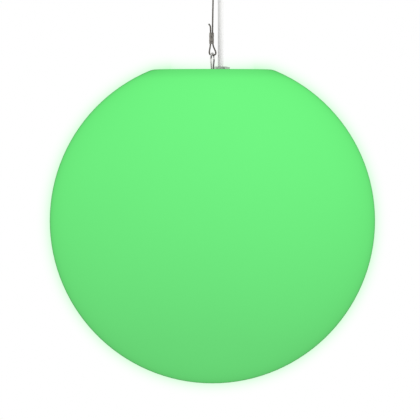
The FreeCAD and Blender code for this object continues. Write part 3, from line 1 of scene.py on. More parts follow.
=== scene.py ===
# %% [markdown]
# # Garden globe light
# A plastic ball glows green from a lamp inside it. It hangs by a short loop of wire
# rope from a hook under a small ceiling canopy, and a white power cable runs down
# beside the rope into a gland on the ball's flat top.
#
# The solid parts come ready made from a imported CAD model. This file adds what Blender
# is good at: the twisted rope, the crimped sleeves, a cable in three stretches, a finish
# for every surface, the glow, the light and the camera.

# %% Load the imported model
import json
import math

import bpy
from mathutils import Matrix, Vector


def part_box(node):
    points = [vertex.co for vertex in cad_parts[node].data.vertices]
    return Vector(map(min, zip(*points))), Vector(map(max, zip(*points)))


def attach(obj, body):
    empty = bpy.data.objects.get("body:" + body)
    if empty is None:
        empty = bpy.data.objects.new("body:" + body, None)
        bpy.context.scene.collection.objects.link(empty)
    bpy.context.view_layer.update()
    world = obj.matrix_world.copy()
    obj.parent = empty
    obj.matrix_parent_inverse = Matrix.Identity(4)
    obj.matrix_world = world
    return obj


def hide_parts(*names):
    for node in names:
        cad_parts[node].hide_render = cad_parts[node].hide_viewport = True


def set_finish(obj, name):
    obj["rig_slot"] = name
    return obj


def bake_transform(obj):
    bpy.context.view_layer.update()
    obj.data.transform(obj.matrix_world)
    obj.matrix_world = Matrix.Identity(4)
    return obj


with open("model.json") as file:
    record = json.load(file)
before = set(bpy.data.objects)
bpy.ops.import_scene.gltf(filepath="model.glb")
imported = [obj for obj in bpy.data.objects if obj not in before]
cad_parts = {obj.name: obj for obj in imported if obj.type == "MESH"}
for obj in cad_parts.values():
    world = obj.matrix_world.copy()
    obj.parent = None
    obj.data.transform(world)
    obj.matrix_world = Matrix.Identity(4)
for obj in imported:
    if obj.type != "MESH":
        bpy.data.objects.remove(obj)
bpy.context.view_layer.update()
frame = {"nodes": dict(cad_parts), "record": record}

# %% [markdown]
# ## Main places
# The ball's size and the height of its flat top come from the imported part. Typed in
# by hand they could differ from the CAD model one day, and the camera, the floor and
# the glow would then miss the ball.

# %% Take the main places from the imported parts
MM = 0.001

ball_low, ball_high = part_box("globe_shell")
BALL_RADIUS = (ball_high.x - ball_low.x) / 2
BALL_MIDDLE = ball_low.z + BALL_RADIUS
FLAT_TOP = ball_high.z
print("ball radius", round(BALL_RADIUS, 4), "middle", round(BALL_MIDDLE, 4),
      "flat", round(FLAT_TOP, 4))

# %% [markdown]
# ## Camera
# The photograph shows the flat top exactly edge on and the ball as a true circle, so
# it was taken from far away through a long lens. A camera 16 m back with a long lens
# gives that look and still works from other sides. Its lens follows from the width
# that the picture shows at the ball.

# %% Camera in front of the ball
SENSOR_WIDTH = 36.0
CAMERA_BACK = 16.0
VIEW_WIDTH = 516.5 * MM
VIEW_RIGHT = -2.95 * MM
VIEW_ABOVE_MIDDLE = 13.2 * MM

camera_data = bpy.data.cameras.new("camera")
camera_data.sensor_width = SENSOR_WIDTH
camera_data.lens = SENSOR_WIDTH * CAMERA_BACK / VIEW_WIDTH
camera_data.clip_end = 4 * CAMERA_BACK
camera = bpy.data.objects.new("camera", camera_data)
camera.location = (VIEW_RIGHT, -CAMERA_BACK, BALL_MIDDLE + VIEW_ABOVE_MIDDLE)
camera.rotation_euler = (math.radians(90), 0, 0)
bpy.context.scene.collection.objects.link(camera)
bpy.context.scene.camera = camera
bpy.context.scene.view_settings.view_transform = "Standard"
print("lens", round(camera_data.lens, 1), "mm")

# %% [markdown]
# ## Building with shader nodes
# Every finish below is a small network of nodes. Adding a node, setting it and
# linking it takes three calls in Blender, so one helper does all three. The same
# helper serves materials, the world and node groups.

# %% A helper that adds, sets and links a node
# A Mix node has sockets for numbers, vectors and colours; these are the colour ones
MIX_A, MIX_B, MIX_COLOUR = 6, 7, 2


def add(tree, kind, inputs=None, **settings):
    """Add a node. settings are its options; inputs are values, or sockets to link."""
    made = tree.nodes.new(kind)
    for name, setting in settings.items():
        setattr(made, name, setting)
    for name, given in (inputs or {}).items():
        if isinstance(given, bpy.types.NodeSocket):
            tree.links.new(given, made.inputs[name])
        else:
            made.inputs[name].default_value = given
    return made


def mix_colours(tree, share, first, second, blend="MIX"):
    """Two colours mixed by a share; gives the socket of the result."""
    mixed = add(tree, "ShaderNodeMix", {0: share, MIX_A: first, MIX_B: second},
                data_type="RGBA", blend_type=blend)
    return mixed.outputs[MIX_COLOUR]


def sum_up(tree, how, *values):
    """A math node with its inputs in order; gives the socket of the result."""
    return add(tree, "ShaderNodeMath", dict(enumerate(values)), operation=how).outputs[0]


print("node helpers ready")

# %% [markdown]
# ## Background and light
# The photograph has a pure white background and no visible shadow. White comes from
# what camera, mirror and glass rays see of the world, not from more light. All other
# rays find a plain grey world, and one soft lamp stands to the right, where the
# cable is brightest.

# %% World
AMBIENT = 0.74
WHITE = (1.0, 1.0, 1.0, 1.0)

world = bpy.data.worlds.new("plain_world")
world.use_nodes = True
bpy.context.scene.world = world
tree = world.node_tree
tree.nodes.clear()
path = add(tree, "ShaderNodeLightPath")
seen = sum_up(tree, "MAXIMUM", path.outputs["Is Camera Ray"], path.outputs["Is Glossy Ray"])
seen = sum_up(tree, "MAXIMUM", seen, path.outputs["Is Transmission Ray"])
grey = mix_colours(tree, seen, (AMBIENT, AMBIENT, AMBIENT, 1), WHITE)
background = add(tree, "ShaderNodeBackground", {"Color": grey, "Strength": 1.0})
add(tree, "ShaderNodeOutputWorld", {"Surface": background.outputs[0]})
print("world light", AMBIENT)

# %% [markdown]
# ## Soft lamp
# A sun lamp would draw hard shadows and a point lamp would be too strong nearby. A
# square area lamp as wide as a window gives the cable its soft shading from dark on
# the left to bright on the right. Mirror rays don't see it, so that the steel shows
# the dark card of the next step in its place.

# %% Soft lamp
LAMP_PLACE = Vector((2.2, -2.0, 0.9))
LAMP_SIZE = 1.6
LAMP_POWER = 40.0


def soft_lamp(name, place, size, power):
    """A square area lamp that faces the top of the ball."""
    data = bpy.data.lights.new(name, "AREA")
    data.size = size
    data.energy = power
    lamp = bpy.data.objects.new(name, data)
    lamp.location = place
    aim = Vector((0, 0, FLAT_TOP)) - place
    lamp.rotation_euler = aim.to_track_quat("-Z", "Y").to_euler()
    bpy.context.scene.collection.objects.link(lamp)
    return lamp


side_lamp = soft_lamp("side_lamp", LAMP_PLACE, LAMP_SIZE, LAMP_POWER)
side_lamp.visible_glossy = False
print("lamp", LAMP_POWER, "W at", tuple(LAMP_PLACE))

# %% [markdown]
# ## Dark card
# Polished steel in an all white room is white and has no shape. Photographers hang
# a dark card near such a thing, so that each bright wire gets a dark side. This card
# is part of a wide cylinder, above the camera and to its right. Only mirror rays find
# it, so it darkens nothing else, and it takes the lamp's place in the steel.

# %% Card above the camera and to the right
CARD_RADIUS = 4.0
CARD_TURNS = (-40.0, 110.0)
CARD_LOW = 0.35
CARD_HIGH = 5.0
CARD_STEPS = 24
CARD_COLOUR = (0.02, 0.02, 0.02, 1)


def curved_card():
    """An upright strip round the object, between two turns from the camera's side."""
    points, faces = [], []
    first, last = CARD_TURNS
    for k in range(CARD_STEPS + 1):
        turn = math.radians(first + (last - first) * k / CARD_STEPS)
        across, along = CARD_RADIUS * math.sin(turn), -CARD_RADIUS * math.cos(turn)
        points.append((across, along, FLAT_TOP + CARD_LOW))
        points.append((across, along, FLAT_TOP + CARD_HIGH))
    for k in range(CARD_STEPS):
        faces.append((2 * k, 2 * k + 1, 2 * k + 3, 2 * k + 2))
    mesh = bpy.data.meshes.new("dark_card")
    mesh.from_pydata(points, [], faces)
    made = bpy.data.objects.new("dark_card", mesh)
    bpy.context.scene.collection.objects.link(made)
    return made


def card_finish():
    """Plain matt cloth, nearly black."""
    finish = bpy.data.materials.new("dark_card")
    finish.use_nodes = True
    tree = finish.node_tree
    tree.nodes.clear()
    matt = add(tree, "ShaderNodeBsdfDiffuse", {"Color": CARD_COLOUR})
    add(tree, "ShaderNodeOutputMaterial", {"Surface": matt.outputs[0]})
    return finish


card = curved_card()
card.data.materials.append(card_finish())
card.visible_camera = card.visible_diffuse = False
card.visible_transmission = card.visible_shadow = False
print("card from", CARD_LOW, "to", CARD_HIGH, "m above the flat")

# %% [markdown]
# ## Floor
# The light hangs in the air, so the floor lies well below it and only catches a soft
# shadow. A plain disc would end in a hard edge against the white world, so its finish
# fades to white there. From below it turns clear, and a view from under the ball
# isn't blocked.

# %% Floor disc
FLOOR_BELOW_BALL = 0.5
FLOOR_RADIUS = 1.7
FLOOR_SIDES = 96
FLOOR_FADE = (0.25 * FLOOR_RADIUS, 0.95 * FLOOR_RADIUS)
FLOOR_TONES = ((0.90, 0.90, 0.89, 1), (0.94, 0.94, 0.93, 1))


def disc(name, radius, height):
    """A flat round face."""
    mesh = bpy.data.meshes.new(name)
    rim = [(radius * math.cos(2 * math.pi * k / FLOOR_SIDES),
            radius * math.sin(2 * math.pi * k / FLOOR_SIDES), height)
           for k in range(FLOOR_SIDES)]
    mesh.from_pydata(rim, [], [range(FLOOR_SIDES)])
    made = bpy.data.objects.new(name, mesh)
    bpy.context.scene.collection.objects.link(made)
    return made


def floor_finish():
    """Pale floor that fades to white at its rim and is clear from below."""
    finish = bpy.data.materials.new("floor")
    finish.use_nodes = True
    tree = finish.node_tree
    tree.nodes.clear()
    place = add(tree, "ShaderNodeNewGeometry")
    flat = add(tree, "ShaderNodeVectorMath", {0: place.outputs["Position"], 1: (1, 1, 0)},
               operation="MULTIPLY")
    far = add(tree, "ShaderNodeVectorMath", {0: flat.outputs[0]}, operation="LENGTH")
    fade = add(tree, "ShaderNodeMapRange", {
        "Value": far.outputs["Value"], "From Min": FLOOR_FADE[0], "From Max": FLOOR_FADE[1]},
        interpolation_type="SMOOTHSTEP")
    grain = add(tree, "ShaderNodeTexNoise", {"Scale": 60.0, "Detail": 4.0})
    tone = mix_colours(tree, grain.outputs[0], *FLOOR_TONES)
    matt = add(tree, "ShaderNodeBsdfDiffuse", {"Color": tone})
    white = add(tree, "ShaderNodeEmission", {"Color": WHITE, "Strength": 1.0})
    faded = add(tree, "ShaderNodeMixShader",
                {0: fade.outputs[0], 1: matt.outputs[0], 2: white.outputs[0]})
    clear = add(tree, "ShaderNodeBsdfTransparent")
    sided = add(tree, "ShaderNodeMixShader",
                {0: place.outputs["Backfacing"], 1: faded.outputs[0], 2: clear.outputs[0]})
    add(tree, "ShaderNodeOutputMaterial", {"Surface": sided.outputs[0]})
    return finish


floor = disc("floor", FLOOR_RADIUS, BALL_MIDDLE - BALL_RADIUS - FLOOR_BELOW_BALL)
floor.data.materials.append(floor_finish())
print("floor at", round(floor.data.vertices[0].co.z, 3))

# %% [markdown]
# ## Reading a smooth line
# A cable or rope lies on one smooth curve. A NURBS spline draws it from a few control
# points, and Blender can turn the bare curve into points that a tube then follows.
# A bevelled curve would also give a tube, but a mesh can bend between two moving
# bodies and can carry twisted strands.

# %% Points of a NURBS line
LINE_STEPS = 48


def smooth_line(name, route):
    """The line that a NURBS spline draws from a route's control points, in metres."""
    curve = bpy.data.curves.new(name, "CURVE")
    curve.dimensions = "3D"
    curve.resolution_u = LINE_STEPS
    spline = curve.splines.new("NURBS")
    spline.points.add(len(route) - 1)
    for point, place in zip(spline.points, route):
        point.co = (*place, 1)
    spline.order_u = 3
    spline.use_endpoint_u = True
    holder = bpy.data.objects.new(name, curve)
    bpy.context.scene.collection.objects.link(holder)
    mesh = bpy.data.meshes.new_from_object(holder)
    line = [vertex.co.copy() for vertex in mesh.vertices]
    bpy.data.objects.remove(holder)
    bpy.data.meshes.remove(mesh)
    return line


def line_length(line):
    """How long a line of points is."""
    return sum((after - before).length for before, after in zip(line, line[1:]))


def evenly(line, step):
    """The same line with its points a step apart."""
    count = max(2, round(line_length(line) / step))
    step = line_length(line) / count
    picked = [line[0].copy()]
    walked = 0.0
    for before, after in zip(line, line[1:]):
        run = (after - before).length
        while len(picked) < count and walked + run >= step * len(picked):
            picked.append(before.lerp(after, (step * len(picked) - walked) / run))
        walked += run
    return picked + [line[-1].copy()]


print("line helpers ready")

# %% [markdown]
# ## Sweeping a section along a line
# To sweep a section without sudden turns, each step carries its side direction on
# from the step before. The section is a function of the angle and of the distance
# walked, so one helper makes both a round cable and a fluted strand.

# %% Frames and tubes along a line
def frames_along(line):
    """For each point of a line: the point, two side directions and the distance."""
    tangents = []
    for index in range(len(line)):
        before, after = line[max(index - 1, 0)], line[min(index + 1, len(line) - 1)]
        tangents.append((after - before).normalized())
    side = tangents[0].orthogonal().normalized()
    walked = 0.0
    frames = []
    for index, (point, tangent) in enumerate(zip(line, tangents)):
        if index:
            walked += (point - line[index - 1]).length
        side = (side - tangent * side.dot(tangent)).normalized()
        frames.append((point, side, tangent.cross(side), walked))
    return frames


def swept_rings(frames, sides, radius_at, middle_at=None):
    """Rings of points along the frames; middle_at shifts a ring off the line."""
    rings = []
    for point, first, second, walked in frames:
        across, up = middle_at(walked) if middle_at else (0.0, 0.0)
        middle = point + first * across + second * up
        ring = []
        for k in range(sides):
            angle = 2 * math.pi * k / sides
            radius = radius_at(angle, walked)
            ring.append(middle + first * radius * math.cos(angle)
                        + second * radius * math.sin(angle))
        rings.append(ring)
    return rings


def skin_rings(points, faces, rings):
    """Add the faces between neighbouring rings, and a cap on each end."""
    base = len(points)
    sides = len(rings[0])
    for ring in rings:
        points.extend(ring)
    for row in range(len(rings) - 1):
        for k in range(sides):
            low, high = base + row * sides, base + (row + 1) * sides
            after = (k + 1) % sides
            faces.append((low + k, low + after, high + after, high + k))
    faces.append([base + k for k in reversed(range(sides))])
    faces.append([base + (len(rings) - 1) * sides + k for k in range(sides)])


def mesh_piece(name, points, faces):
    """A new smooth mesh object in the scene."""
    mesh = bpy.data.meshes.new(name)
    mesh.from_pydata(points, [], faces)
    mesh.polygons.foreach_set("use_smooth", [True] * len(mesh.polygons))
    made = bpy.data.objects.new(name, mesh)
    bpy.context.scene.collection.objects.link(made)
    return made


print("sweeping helpers ready")

# %% [markdown]
# ## Power cable
# The cable is a round white sheath of soft plastic, 7 mm across. Only the stretch
# between the two glands is free. It hangs straight there, but it has to bend when
# the rope swings, when the snap hook turns on the rope and when the ball tilts. Here
# it is three straight tubes end to end, one for each of the three joints, cut at
# equal heights and tied to none of the bodies.

# %% Three stretches of cable
CABLE_SIDES = 40
CABLE_STEP = 1.0 * MM

cable_low, cable_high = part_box("power_cable")
cable_diameter = cable_high.x - cable_low.x
cable_right = (cable_low.x + cable_high.x) / 2
cable_behind = (cable_low.y + cable_high.y) / 2
CABLE_CROSSINGS = (("ceiling_fitting", "rope"), ("rope", "snap_hook"), ("snap_hook", "globe"))
cable_stretch = (cable_high.z - cable_low.z) / len(CABLE_CROSSINGS)


def cable_piece(number):
    """One straight stretch of cable, one of equal parts of its height."""
    top = cable_high.z - number * cable_stretch
    start = Vector((cable_right, cable_behind, top))
    end = Vector((cable_right, cable_behind, top - cable_stretch))
    route = [start.lerp(end, share) for share in (0, 0.25, 0.5, 0.75, 1)]
    line = evenly(smooth_line("cable_line", route), CABLE_STEP)
    rings = swept_rings(frames_along(line), CABLE_SIDES, lambda angle, walked: cable_diameter / 2)
    points, faces = [], []
    skin_rings(points, faces, rings)
    without_caps = faces[:-2]
    piece = mesh_piece(f"cable_stretch_{number + 1}", points, without_caps)
    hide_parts("power_cable")
    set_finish(piece, "cable_pvc")
    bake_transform(piece)
    return piece


cable_pieces = [cable_piece(number)
                for number, (above, below) in enumerate(CABLE_CROSSINGS)]
print("cable", round(len(cable_pieces) * cable_stretch, 4), "m in", len(cable_pieces),
      "stretches")

# %% [markdown]
# ## Wire rope
# The rope is stranded steel, 2 mm across: six strands laid round a seventh, and each
# strand is itself six wires round one. Each strand could be seven thin tubes. At
# this size a fluted tube, whose six ridges twist against the lay, shows the same
# wires with a seventh of the mesh.

# %% Route of the rope, from its lower tail to its upper tail
ROPE_ROUTE = (
    (-4.8, -149.6), (-3.2, -150.8), (-2.4, -153.2), (-2.2, -158.8), (-2.2, -175.7),
    (-4.2, -184.8), (-2.5, -188.0), (3.1, -188.0), (4.9, -184.8), (0.1, -175.7),
    (0.1, -158.8), (1.2, -99.4), (1.2, -82.5), (4.6, -70.4), (2.8, -66.2), (-2.8, -66.2),
    (-4.6, -70.4), (-1.2, -82.5), (-1.2, -99.4), (-1.3, -105.2), (-2.1, -107.7),
    (-3.4, -109.0))
ROPE_DIAMETER = 2.0 * MM
ROPE_STEP = 0.45 * MM

rope_line = evenly(smooth_line("rope_line", [(right * MM, 0, up * MM)
                                             for right, up in ROPE_ROUTE]), ROPE_STEP)
print("rope", round(line_length(rope_line), 4), "m,", len(rope_line), "points")

# %% Seven twisted strands
STRAND_RADIUS = ROPE_DIAMETER / 6
STRAND_COUNT = 6
STRAND_LAY = 13.0 * MM
WIRE_LAY = 5.2 * MM
WIRE_COUNT = 6
STRAND_SIDES = 18
WIRE_RIDGE = 0.20


def ridged(angle, walked):
    """Radius of a strand with one ridge for each of its outer wires."""
    turn = angle + 2 * math.pi * walked / WIRE_LAY
    ridge = abs(math.cos(turn * WIRE_COUNT / 2))
    return STRAND_RADIUS * (1 - WIRE_RIDGE + WIRE_RIDGE * ridge)


def lay_at(number):
    """Where a strand's middle lies at a distance along the rope."""
    def place(walked):
        angle = 2 * math.pi * (number / STRAND_COUNT - walked / STRAND_LAY)
        return 2 * STRAND_RADIUS * math.cos(angle), 2 * STRAND_RADIUS * math.sin(angle)
    return place


rope_frames = frames_along(rope_line)
points, faces = [], []
skin_rings(points, faces, swept_rings(rope_frames, STRAND_SIDES, ridged))
for number in range(STRAND_COUNT):
    skin_rings(points, faces, swept_rings(rope_frames, STRAND_SIDES, ridged, lay_at(number)))
rope = mesh_piece("stranded_rope", points, faces)
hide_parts("wire_rope")
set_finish(rope, "rope_steel")
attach(rope, "rope")
print("rope mesh", len(rope.data.vertices), "points")

# %% [markdown]
# ## Crimped sleeves
# Each loop is closed by an aluminium sleeve that a press has squeezed over the rope
# and its tail. The press leaves two dents in the broad faces, pushes the sides out
# a little there and leaves the ends round. A box model with a subdivision surface
# could do this, but a stack of ovals whose width and depth follow the height says
# directly what the press did.

# %% Two ferrules
SLEEVE_RINGS = 44
SLEEVE_SIDES = 48
DENT_DEPTH = 0.11
DENT_SPREAD = 0.035
DENT_HEIGHTS = (0.30, 0.70)
DENT_WIDTH = 0.085
END_ROUND = 0.05
END_SHRINK = 0.12
BROAD_FACE = 3.0


def dent_at(share):
    """How strongly the press bit at a share of the sleeve's height."""
    return max(math.exp(-((share - height) / DENT_WIDTH) ** 2) for height in DENT_HEIGHTS)


def end_round(share):
    """Shrinks the last few rings to a rounded end."""
    inward = min(share, 1 - share) / END_ROUND
    return 1 - END_SHRINK * max(0.0, 1 - inward) ** 2


def crimped_sleeve(name, node):
    """An oval sleeve with press dents, in place of a CAD node."""
    low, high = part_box(node)
    middle = (low + high) / 2
    half_wide, half_deep = (high.x - low.x) / 2, (high.y - low.y) / 2
    straight = half_wide - half_deep
    rings = []
    for row in range(SLEEVE_RINGS + 1):
        share = row / SLEEVE_RINGS
        dent, trim = dent_at(share), end_round(share)
        deep = half_deep * (1 - DENT_DEPTH * dent) * trim
        wide = (half_wide * (1 - DENT_SPREAD) + half_wide * DENT_SPREAD * dent) * trim
        ring = []
        for k in range(SLEEVE_SIDES):
            angle = 2 * math.pi * k / SLEEVE_SIDES
            towards = math.cos(angle)
            across = straight * max(-1, min(1, BROAD_FACE * towards))
            ring.append(Vector((
                middle.x + (across + half_deep * towards) * wide / half_wide,
                middle.y + deep * math.sin(angle),
                low.z + share * (high.z - low.z))))
        rings.append(ring)
    points, faces = [], []
    skin_rings(points, faces, rings)
    piece = mesh_piece(name, points, faces)
    for face in piece.data.polygons[-2:]:
        face.use_smooth = False
    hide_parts(node)
    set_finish(piece, "ferrule_alloy")
    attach(piece, "rope")
    return piece


sleeves = [crimped_sleeve("crimped_sleeve_low", "lower_ferrule"),
           crimped_sleeve("crimped_sleeve_high", "upper_ferrule")]
print("sleeves:", [piece.name for piece in sleeves])

# %% [markdown]
# ## Shared effects
# Several finishes need the same small faults: grain left by a mould, uneven tone,
# fine scratches from handling, turning lines from a lathe, and dust that settles on
# top. Each is a node group, built once, with sockets for its size and strength. A
# group only gives out colours, masks and heights; each material keeps its own
# Principled shader and bump.

# %% Start of a node group
def new_group(name, takes, gives):
    """A node group with its outer sockets, and its inner input and output nodes."""
    group = bpy.data.node_groups.new(name, "ShaderNodeTree")
    for label, kind, default in takes:
        socket = group.interface.new_socket(label, in_out="INPUT", socket_type=kind)
        socket.default_value = default
    for label, kind in gives:
        group.interface.new_socket(label, in_out="OUTPUT", socket_type=kind)
    return group, group.nodes.new("NodeGroupInput"), group.nodes.new("NodeGroupOutput")


FLOAT, COLOUR = "NodeSocketFloat", "NodeSocketColor"


def give(group, outer, **results):
    """Link results to the group's output sockets by name."""
    for label, socket in results.items():
        group.links.new(socket, outer.inputs[label])


print("group helper ready")

# %% Grain left by a mould
WIDE_GRAIN = 0.22


def make_grain():
    """Fine bumps of two sizes, as a height from 0 to 1."""
    group, given, outer = new_group("mould_grain", [("Size", FLOAT, 800.0)], [("Height", FLOAT)])
    place = add(group, "ShaderNodeTexCoord").outputs["Object"]
    fine = add(group, "ShaderNodeTexNoise",
               {"Vector": place, "Scale": given.outputs["Size"], "Detail": 3.0})
    wide_size = sum_up(group, "MULTIPLY", given.outputs["Size"], WIDE_GRAIN)
    wide = add(group, "ShaderNodeTexNoise", {"Vector": place, "Scale": wide_size, "Detail": 2.0})
    both = sum_up(group, "ADD", fine.outputs[0], wide.outputs[0])
    give(group, outer, Height=sum_up(group, "MULTIPLY", both, 0.5))
    return group


GRAIN = make_grain()
print("group", GRAIN.name)

# %% Uneven tone
DARKER_TONE = 0.62


def make_tone():
    """A colour that drifts a little lighter and darker over the surface."""
    group, given, outer = new_group(
        "uneven_tone", [("Colour", COLOUR, WHITE), ("Size", FLOAT, 30.0), ("Amount", FLOAT, 0.1)],
        [("Colour", COLOUR), ("Mask", FLOAT)])
    place = add(group, "ShaderNodeTexCoord").outputs["Object"]
    clouds = add(group, "ShaderNodeTexNoise",
                 {"Vector": place, "Scale": given.outputs["Size"], "Detail": 5.0})
    mask = add(group, "ShaderNodeMapRange",
               {"Value": clouds.outputs[0], "From Min": 0.35, "From Max": 0.65}).outputs[0]
    share = sum_up(group, "MULTIPLY", mask, given.outputs["Amount"])
    darker = add(group, "ShaderNodeHueSaturation",
                 {"Value": DARKER_TONE, "Color": given.outputs["Colour"]})
    toned = mix_colours(group, share, given.outputs["Colour"], darker.outputs[0])
    give(group, outer, Colour=toned, Mask=mask)
    return group


TONE = make_tone()
print("group", TONE.name)

# %% Scratches from handling
SCRATCH_TURNS = (0.4, 1.5, 2.6)
SCRATCH_STRETCH = (1.0, 14.0, 1.0)


def make_scratches():
    """Thin lines in three directions, broken up by clouds."""
    group, given, outer = new_group(
        "handling_scratches", [("Size", FLOAT, 200.0), ("Amount", FLOAT, 0.5)],
        [("Mask", FLOAT), ("Height", FLOAT)])
    place = add(group, "ShaderNodeTexCoord").outputs["Object"]
    lines = None
    for number, turn in enumerate(SCRATCH_TURNS):
        turned = add(group, "ShaderNodeMapping", {
            "Vector": place, "Rotation": (turn, turn * 0.7, turn * 1.3),
            "Scale": SCRATCH_STRETCH})
        noise = add(group, "ShaderNodeTexNoise", {
            "Vector": turned.outputs[0], "Scale": given.outputs["Size"], "Detail": 1.0,
            "Distortion": 0.3 + 0.2 * number})
        thin = add(group, "ShaderNodeMapRange",
                   {"Value": noise.outputs[0], "From Min": 0.60, "From Max": 0.66}).outputs[0]
        lines = thin if lines is None else sum_up(group, "MAXIMUM", lines, thin)
    clouds = add(group, "ShaderNodeTexNoise", {"Vector": place, "Scale": 90.0, "Detail": 3.0})
    broken = add(group, "ShaderNodeMapRange",
                 {"Value": clouds.outputs[0], "From Min": 0.40, "From Max": 0.62}).outputs[0]
    mask = sum_up(group, "MULTIPLY", sum_up(group, "MULTIPLY", lines, broken),
                  given.outputs["Amount"])
    give(group, outer, Mask=mask, Height=sum_up(group, "SUBTRACT", 1.0, mask))
    return group


SCRATCHES = make_scratches()
print("group", SCRATCHES.name)

# %% Turning lines from a lathe
TURNING_WOBBLE = 0.2 * MM


def make_turning():
    """Fine rings round a turned part, as a height."""
    group, given, outer = new_group("turning_lines", [("Pitch", FLOAT, 0.35 * MM)],
                                    [("Height", FLOAT)])
    place = add(group, "ShaderNodeTexCoord").outputs["Object"]
    up = add(group, "ShaderNodeSeparateXYZ", {0: place}).outputs["Z"]
    wobble = add(group, "ShaderNodeTexNoise", {"Vector": place, "Scale": 150.0}).outputs[0]
    shifted = sum_up(group, "MULTIPLY_ADD", wobble, TURNING_WOBBLE, up)
    turns = sum_up(group, "DIVIDE", shifted, given.outputs["Pitch"])
    wave = sum_up(group, "SINE", sum_up(group, "MULTIPLY", turns, 2 * math.pi))
    give(group, outer, Height=sum_up(group, "MULTIPLY_ADD", wave, 0.5, 0.5))
    return group


TURNING = make_turning()
print("group", TURNING.name)

# %% Dust that settles on top
def make_dust():
    """How dusty a point is: most on faces that look up, in patches."""
    group, given, outer = new_group("settled_dust", [("Amount", FLOAT, 0.3)], [("Mask", FLOAT)])
    coords = add(group, "ShaderNodeTexCoord")
    up = add(group, "ShaderNodeSeparateXYZ", {0: coords.outputs["Normal"]}).outputs["Z"]
    facing = add(group, "ShaderNodeMapRange",
                 {"Value": up, "From Min": 0.3, "From Max": 1.0}).outputs[0]
    clouds = add(group, "ShaderNodeTexNoise",
                 {"Vector": coords.outputs["Object"], "Scale": 70.0, "Detail": 6.0}).outputs[0]
    patches = sum_up(group, "MULTIPLY", facing, clouds)
    give(group, outer, Mask=sum_up(group, "MULTIPLY", patches, given.outputs["Amount"]))
    return group


DUST = make_dust()
print("group", DUST.name)

# %% [markdown]
# ## Plastics, paint and rubber
# Moulded plastic, powder coat, cable sheath and rubber differ in colour, gloss and
# the size of their grain, and otherwise they are alike: a toned base colour, a little
# dust on top and a fine bump. One function makes them all from those numbers.

# %% Soft finishes
BUMP_DISTANCE = 0.2 * MM
DUST_COLOUR = (0.55, 0.54, 0.50, 1)
SOFT_TONE_SIZE = 40.0
SOFT_DULL_PATCH = 0.08
FINISHES = {}


def start_finish(name):
    """An empty material with its Principled shader."""
    finish = bpy.data.materials.new(name)
    finish.use_nodes = True
    shader = finish.node_tree.nodes["Principled BSDF"]
    FINISHES[name] = finish
    return finish.node_tree, shader


def use_group(tree, group, **inputs):
    """Place a node group in a material with its own values."""
    made = add(tree, "ShaderNodeGroup", node_tree=group)
    for label, given in inputs.items():
        if isinstance(given, bpy.types.NodeSocket):
            tree.links.new(given, made.inputs[label])
        else:
            made.inputs[label].default_value = given
    return made


def bump_from(tree, shader, height, strength, distance=BUMP_DISTANCE):
    """Feed a height to the shader's normal through a bump."""
    bump = add(tree, "ShaderNodeBump",
               {"Height": height, "Strength": strength, "Distance": distance})
    tree.links.new(bump.outputs[0], shader.inputs["Normal"])


def soft_finish(name, colour, roughness, grain_size, grain_strength, tone=0.12, dust=0.25):
    """Plastic, paint or rubber."""
    tree, shader = start_finish(name)
    toned = use_group(tree, TONE, Colour=(*colour, 1), Size=SOFT_TONE_SIZE, Amount=tone)
    dusty = use_group(tree, DUST, Amount=dust)
    tree.links.new(mix_colours(tree, dusty.outputs["Mask"], toned.outputs["Colour"], DUST_COLOUR),
                   shader.inputs["Base Color"])
    rough = add(tree, "ShaderNodeMapRange", {
        "Value": toned.outputs["Mask"], "To Min": roughness,
        "To Max": roughness + SOFT_DULL_PATCH})
    tree.links.new(rough.outputs[0], shader.inputs["Roughness"])
    grain = use_group(tree, GRAIN, Size=grain_size)
    bump_from(tree, shader, grain.outputs["Height"], grain_strength)
    return tree, shader


soft_finish("lid_plastic", (0.16, 0.17, 0.17), 0.46, 1400.0, 0.5, dust=0.35)
soft_finish("rubber_black", (0.03, 0.03, 0.03), 0.72, 1100.0, 0.4)
soft_finish("rubber_grey", (0.20, 0.20, 0.20), 0.68, 1100.0, 0.4)
soft_finish("canopy_paint", (0.85, 0.85, 0.83), 0.42, 650.0, 0.35, tone=0.04, dust=0.15)
soft_finish("cable_pvc", (0.88, 0.88, 0.87), 0.40, 900.0, 0.08, tone=0.05, dust=0.0)
soft_finish("core_brown", (0.30, 0.14, 0.06), 0.42, 1200.0, 0.1, dust=0.0)
soft_finish("core_blue", (0.05, 0.20, 0.60), 0.42, 1200.0, 0.1, dust=0.0)
soft_finish("white_plastic", (0.88, 0.88, 0.86), 0.33, 1000.0, 0.15, tone=0.05, dust=0.1)
soft_finish("porcelain", (0.90, 0.89, 0.85), 0.18, 300.0, 0.08, tone=0.06, dust=0.05)
print("soft finishes:", sorted(FINISHES))

# %% [markdown]
# ## Earth core
# An earth core is green with a yellow stripe, so that nobody mistakes it. The stripe
# runs along the wire. A texture mapped along the wire could draw it, but the side
# that the surface faces already tells the stripe from the rest.

# %% Striped insulation
GREEN_SHEATH = (0.10, 0.42, 0.06, 1)
YELLOW_STRIPE = (0.85, 0.68, 0.05, 1)
STRIPE_EDGE = (0.18, 0.30)

tree, shader = soft_finish("core_green", (0.3, 0.6, 0.1), 0.42, 1200.0, 0.1, dust=0.0)
facing = add(tree, "ShaderNodeTexCoord").outputs["Normal"]
parts = add(tree, "ShaderNodeSeparateXYZ", {0: facing})
slanted = sum_up(tree, "ADD", parts.outputs["X"], parts.outputs["Z"])
stripe = add(tree, "ShaderNodeMapRange", {
    "Value": slanted, "From Min": STRIPE_EDGE[0], "From Max": STRIPE_EDGE[1]}).outputs[0]
tree.links.new(mix_colours(tree, stripe, GREEN_SHEATH, YELLOW_STRIPE),
               shader.inputs["Base Color"])
print("striped:", FINISHES["core_green"].name)

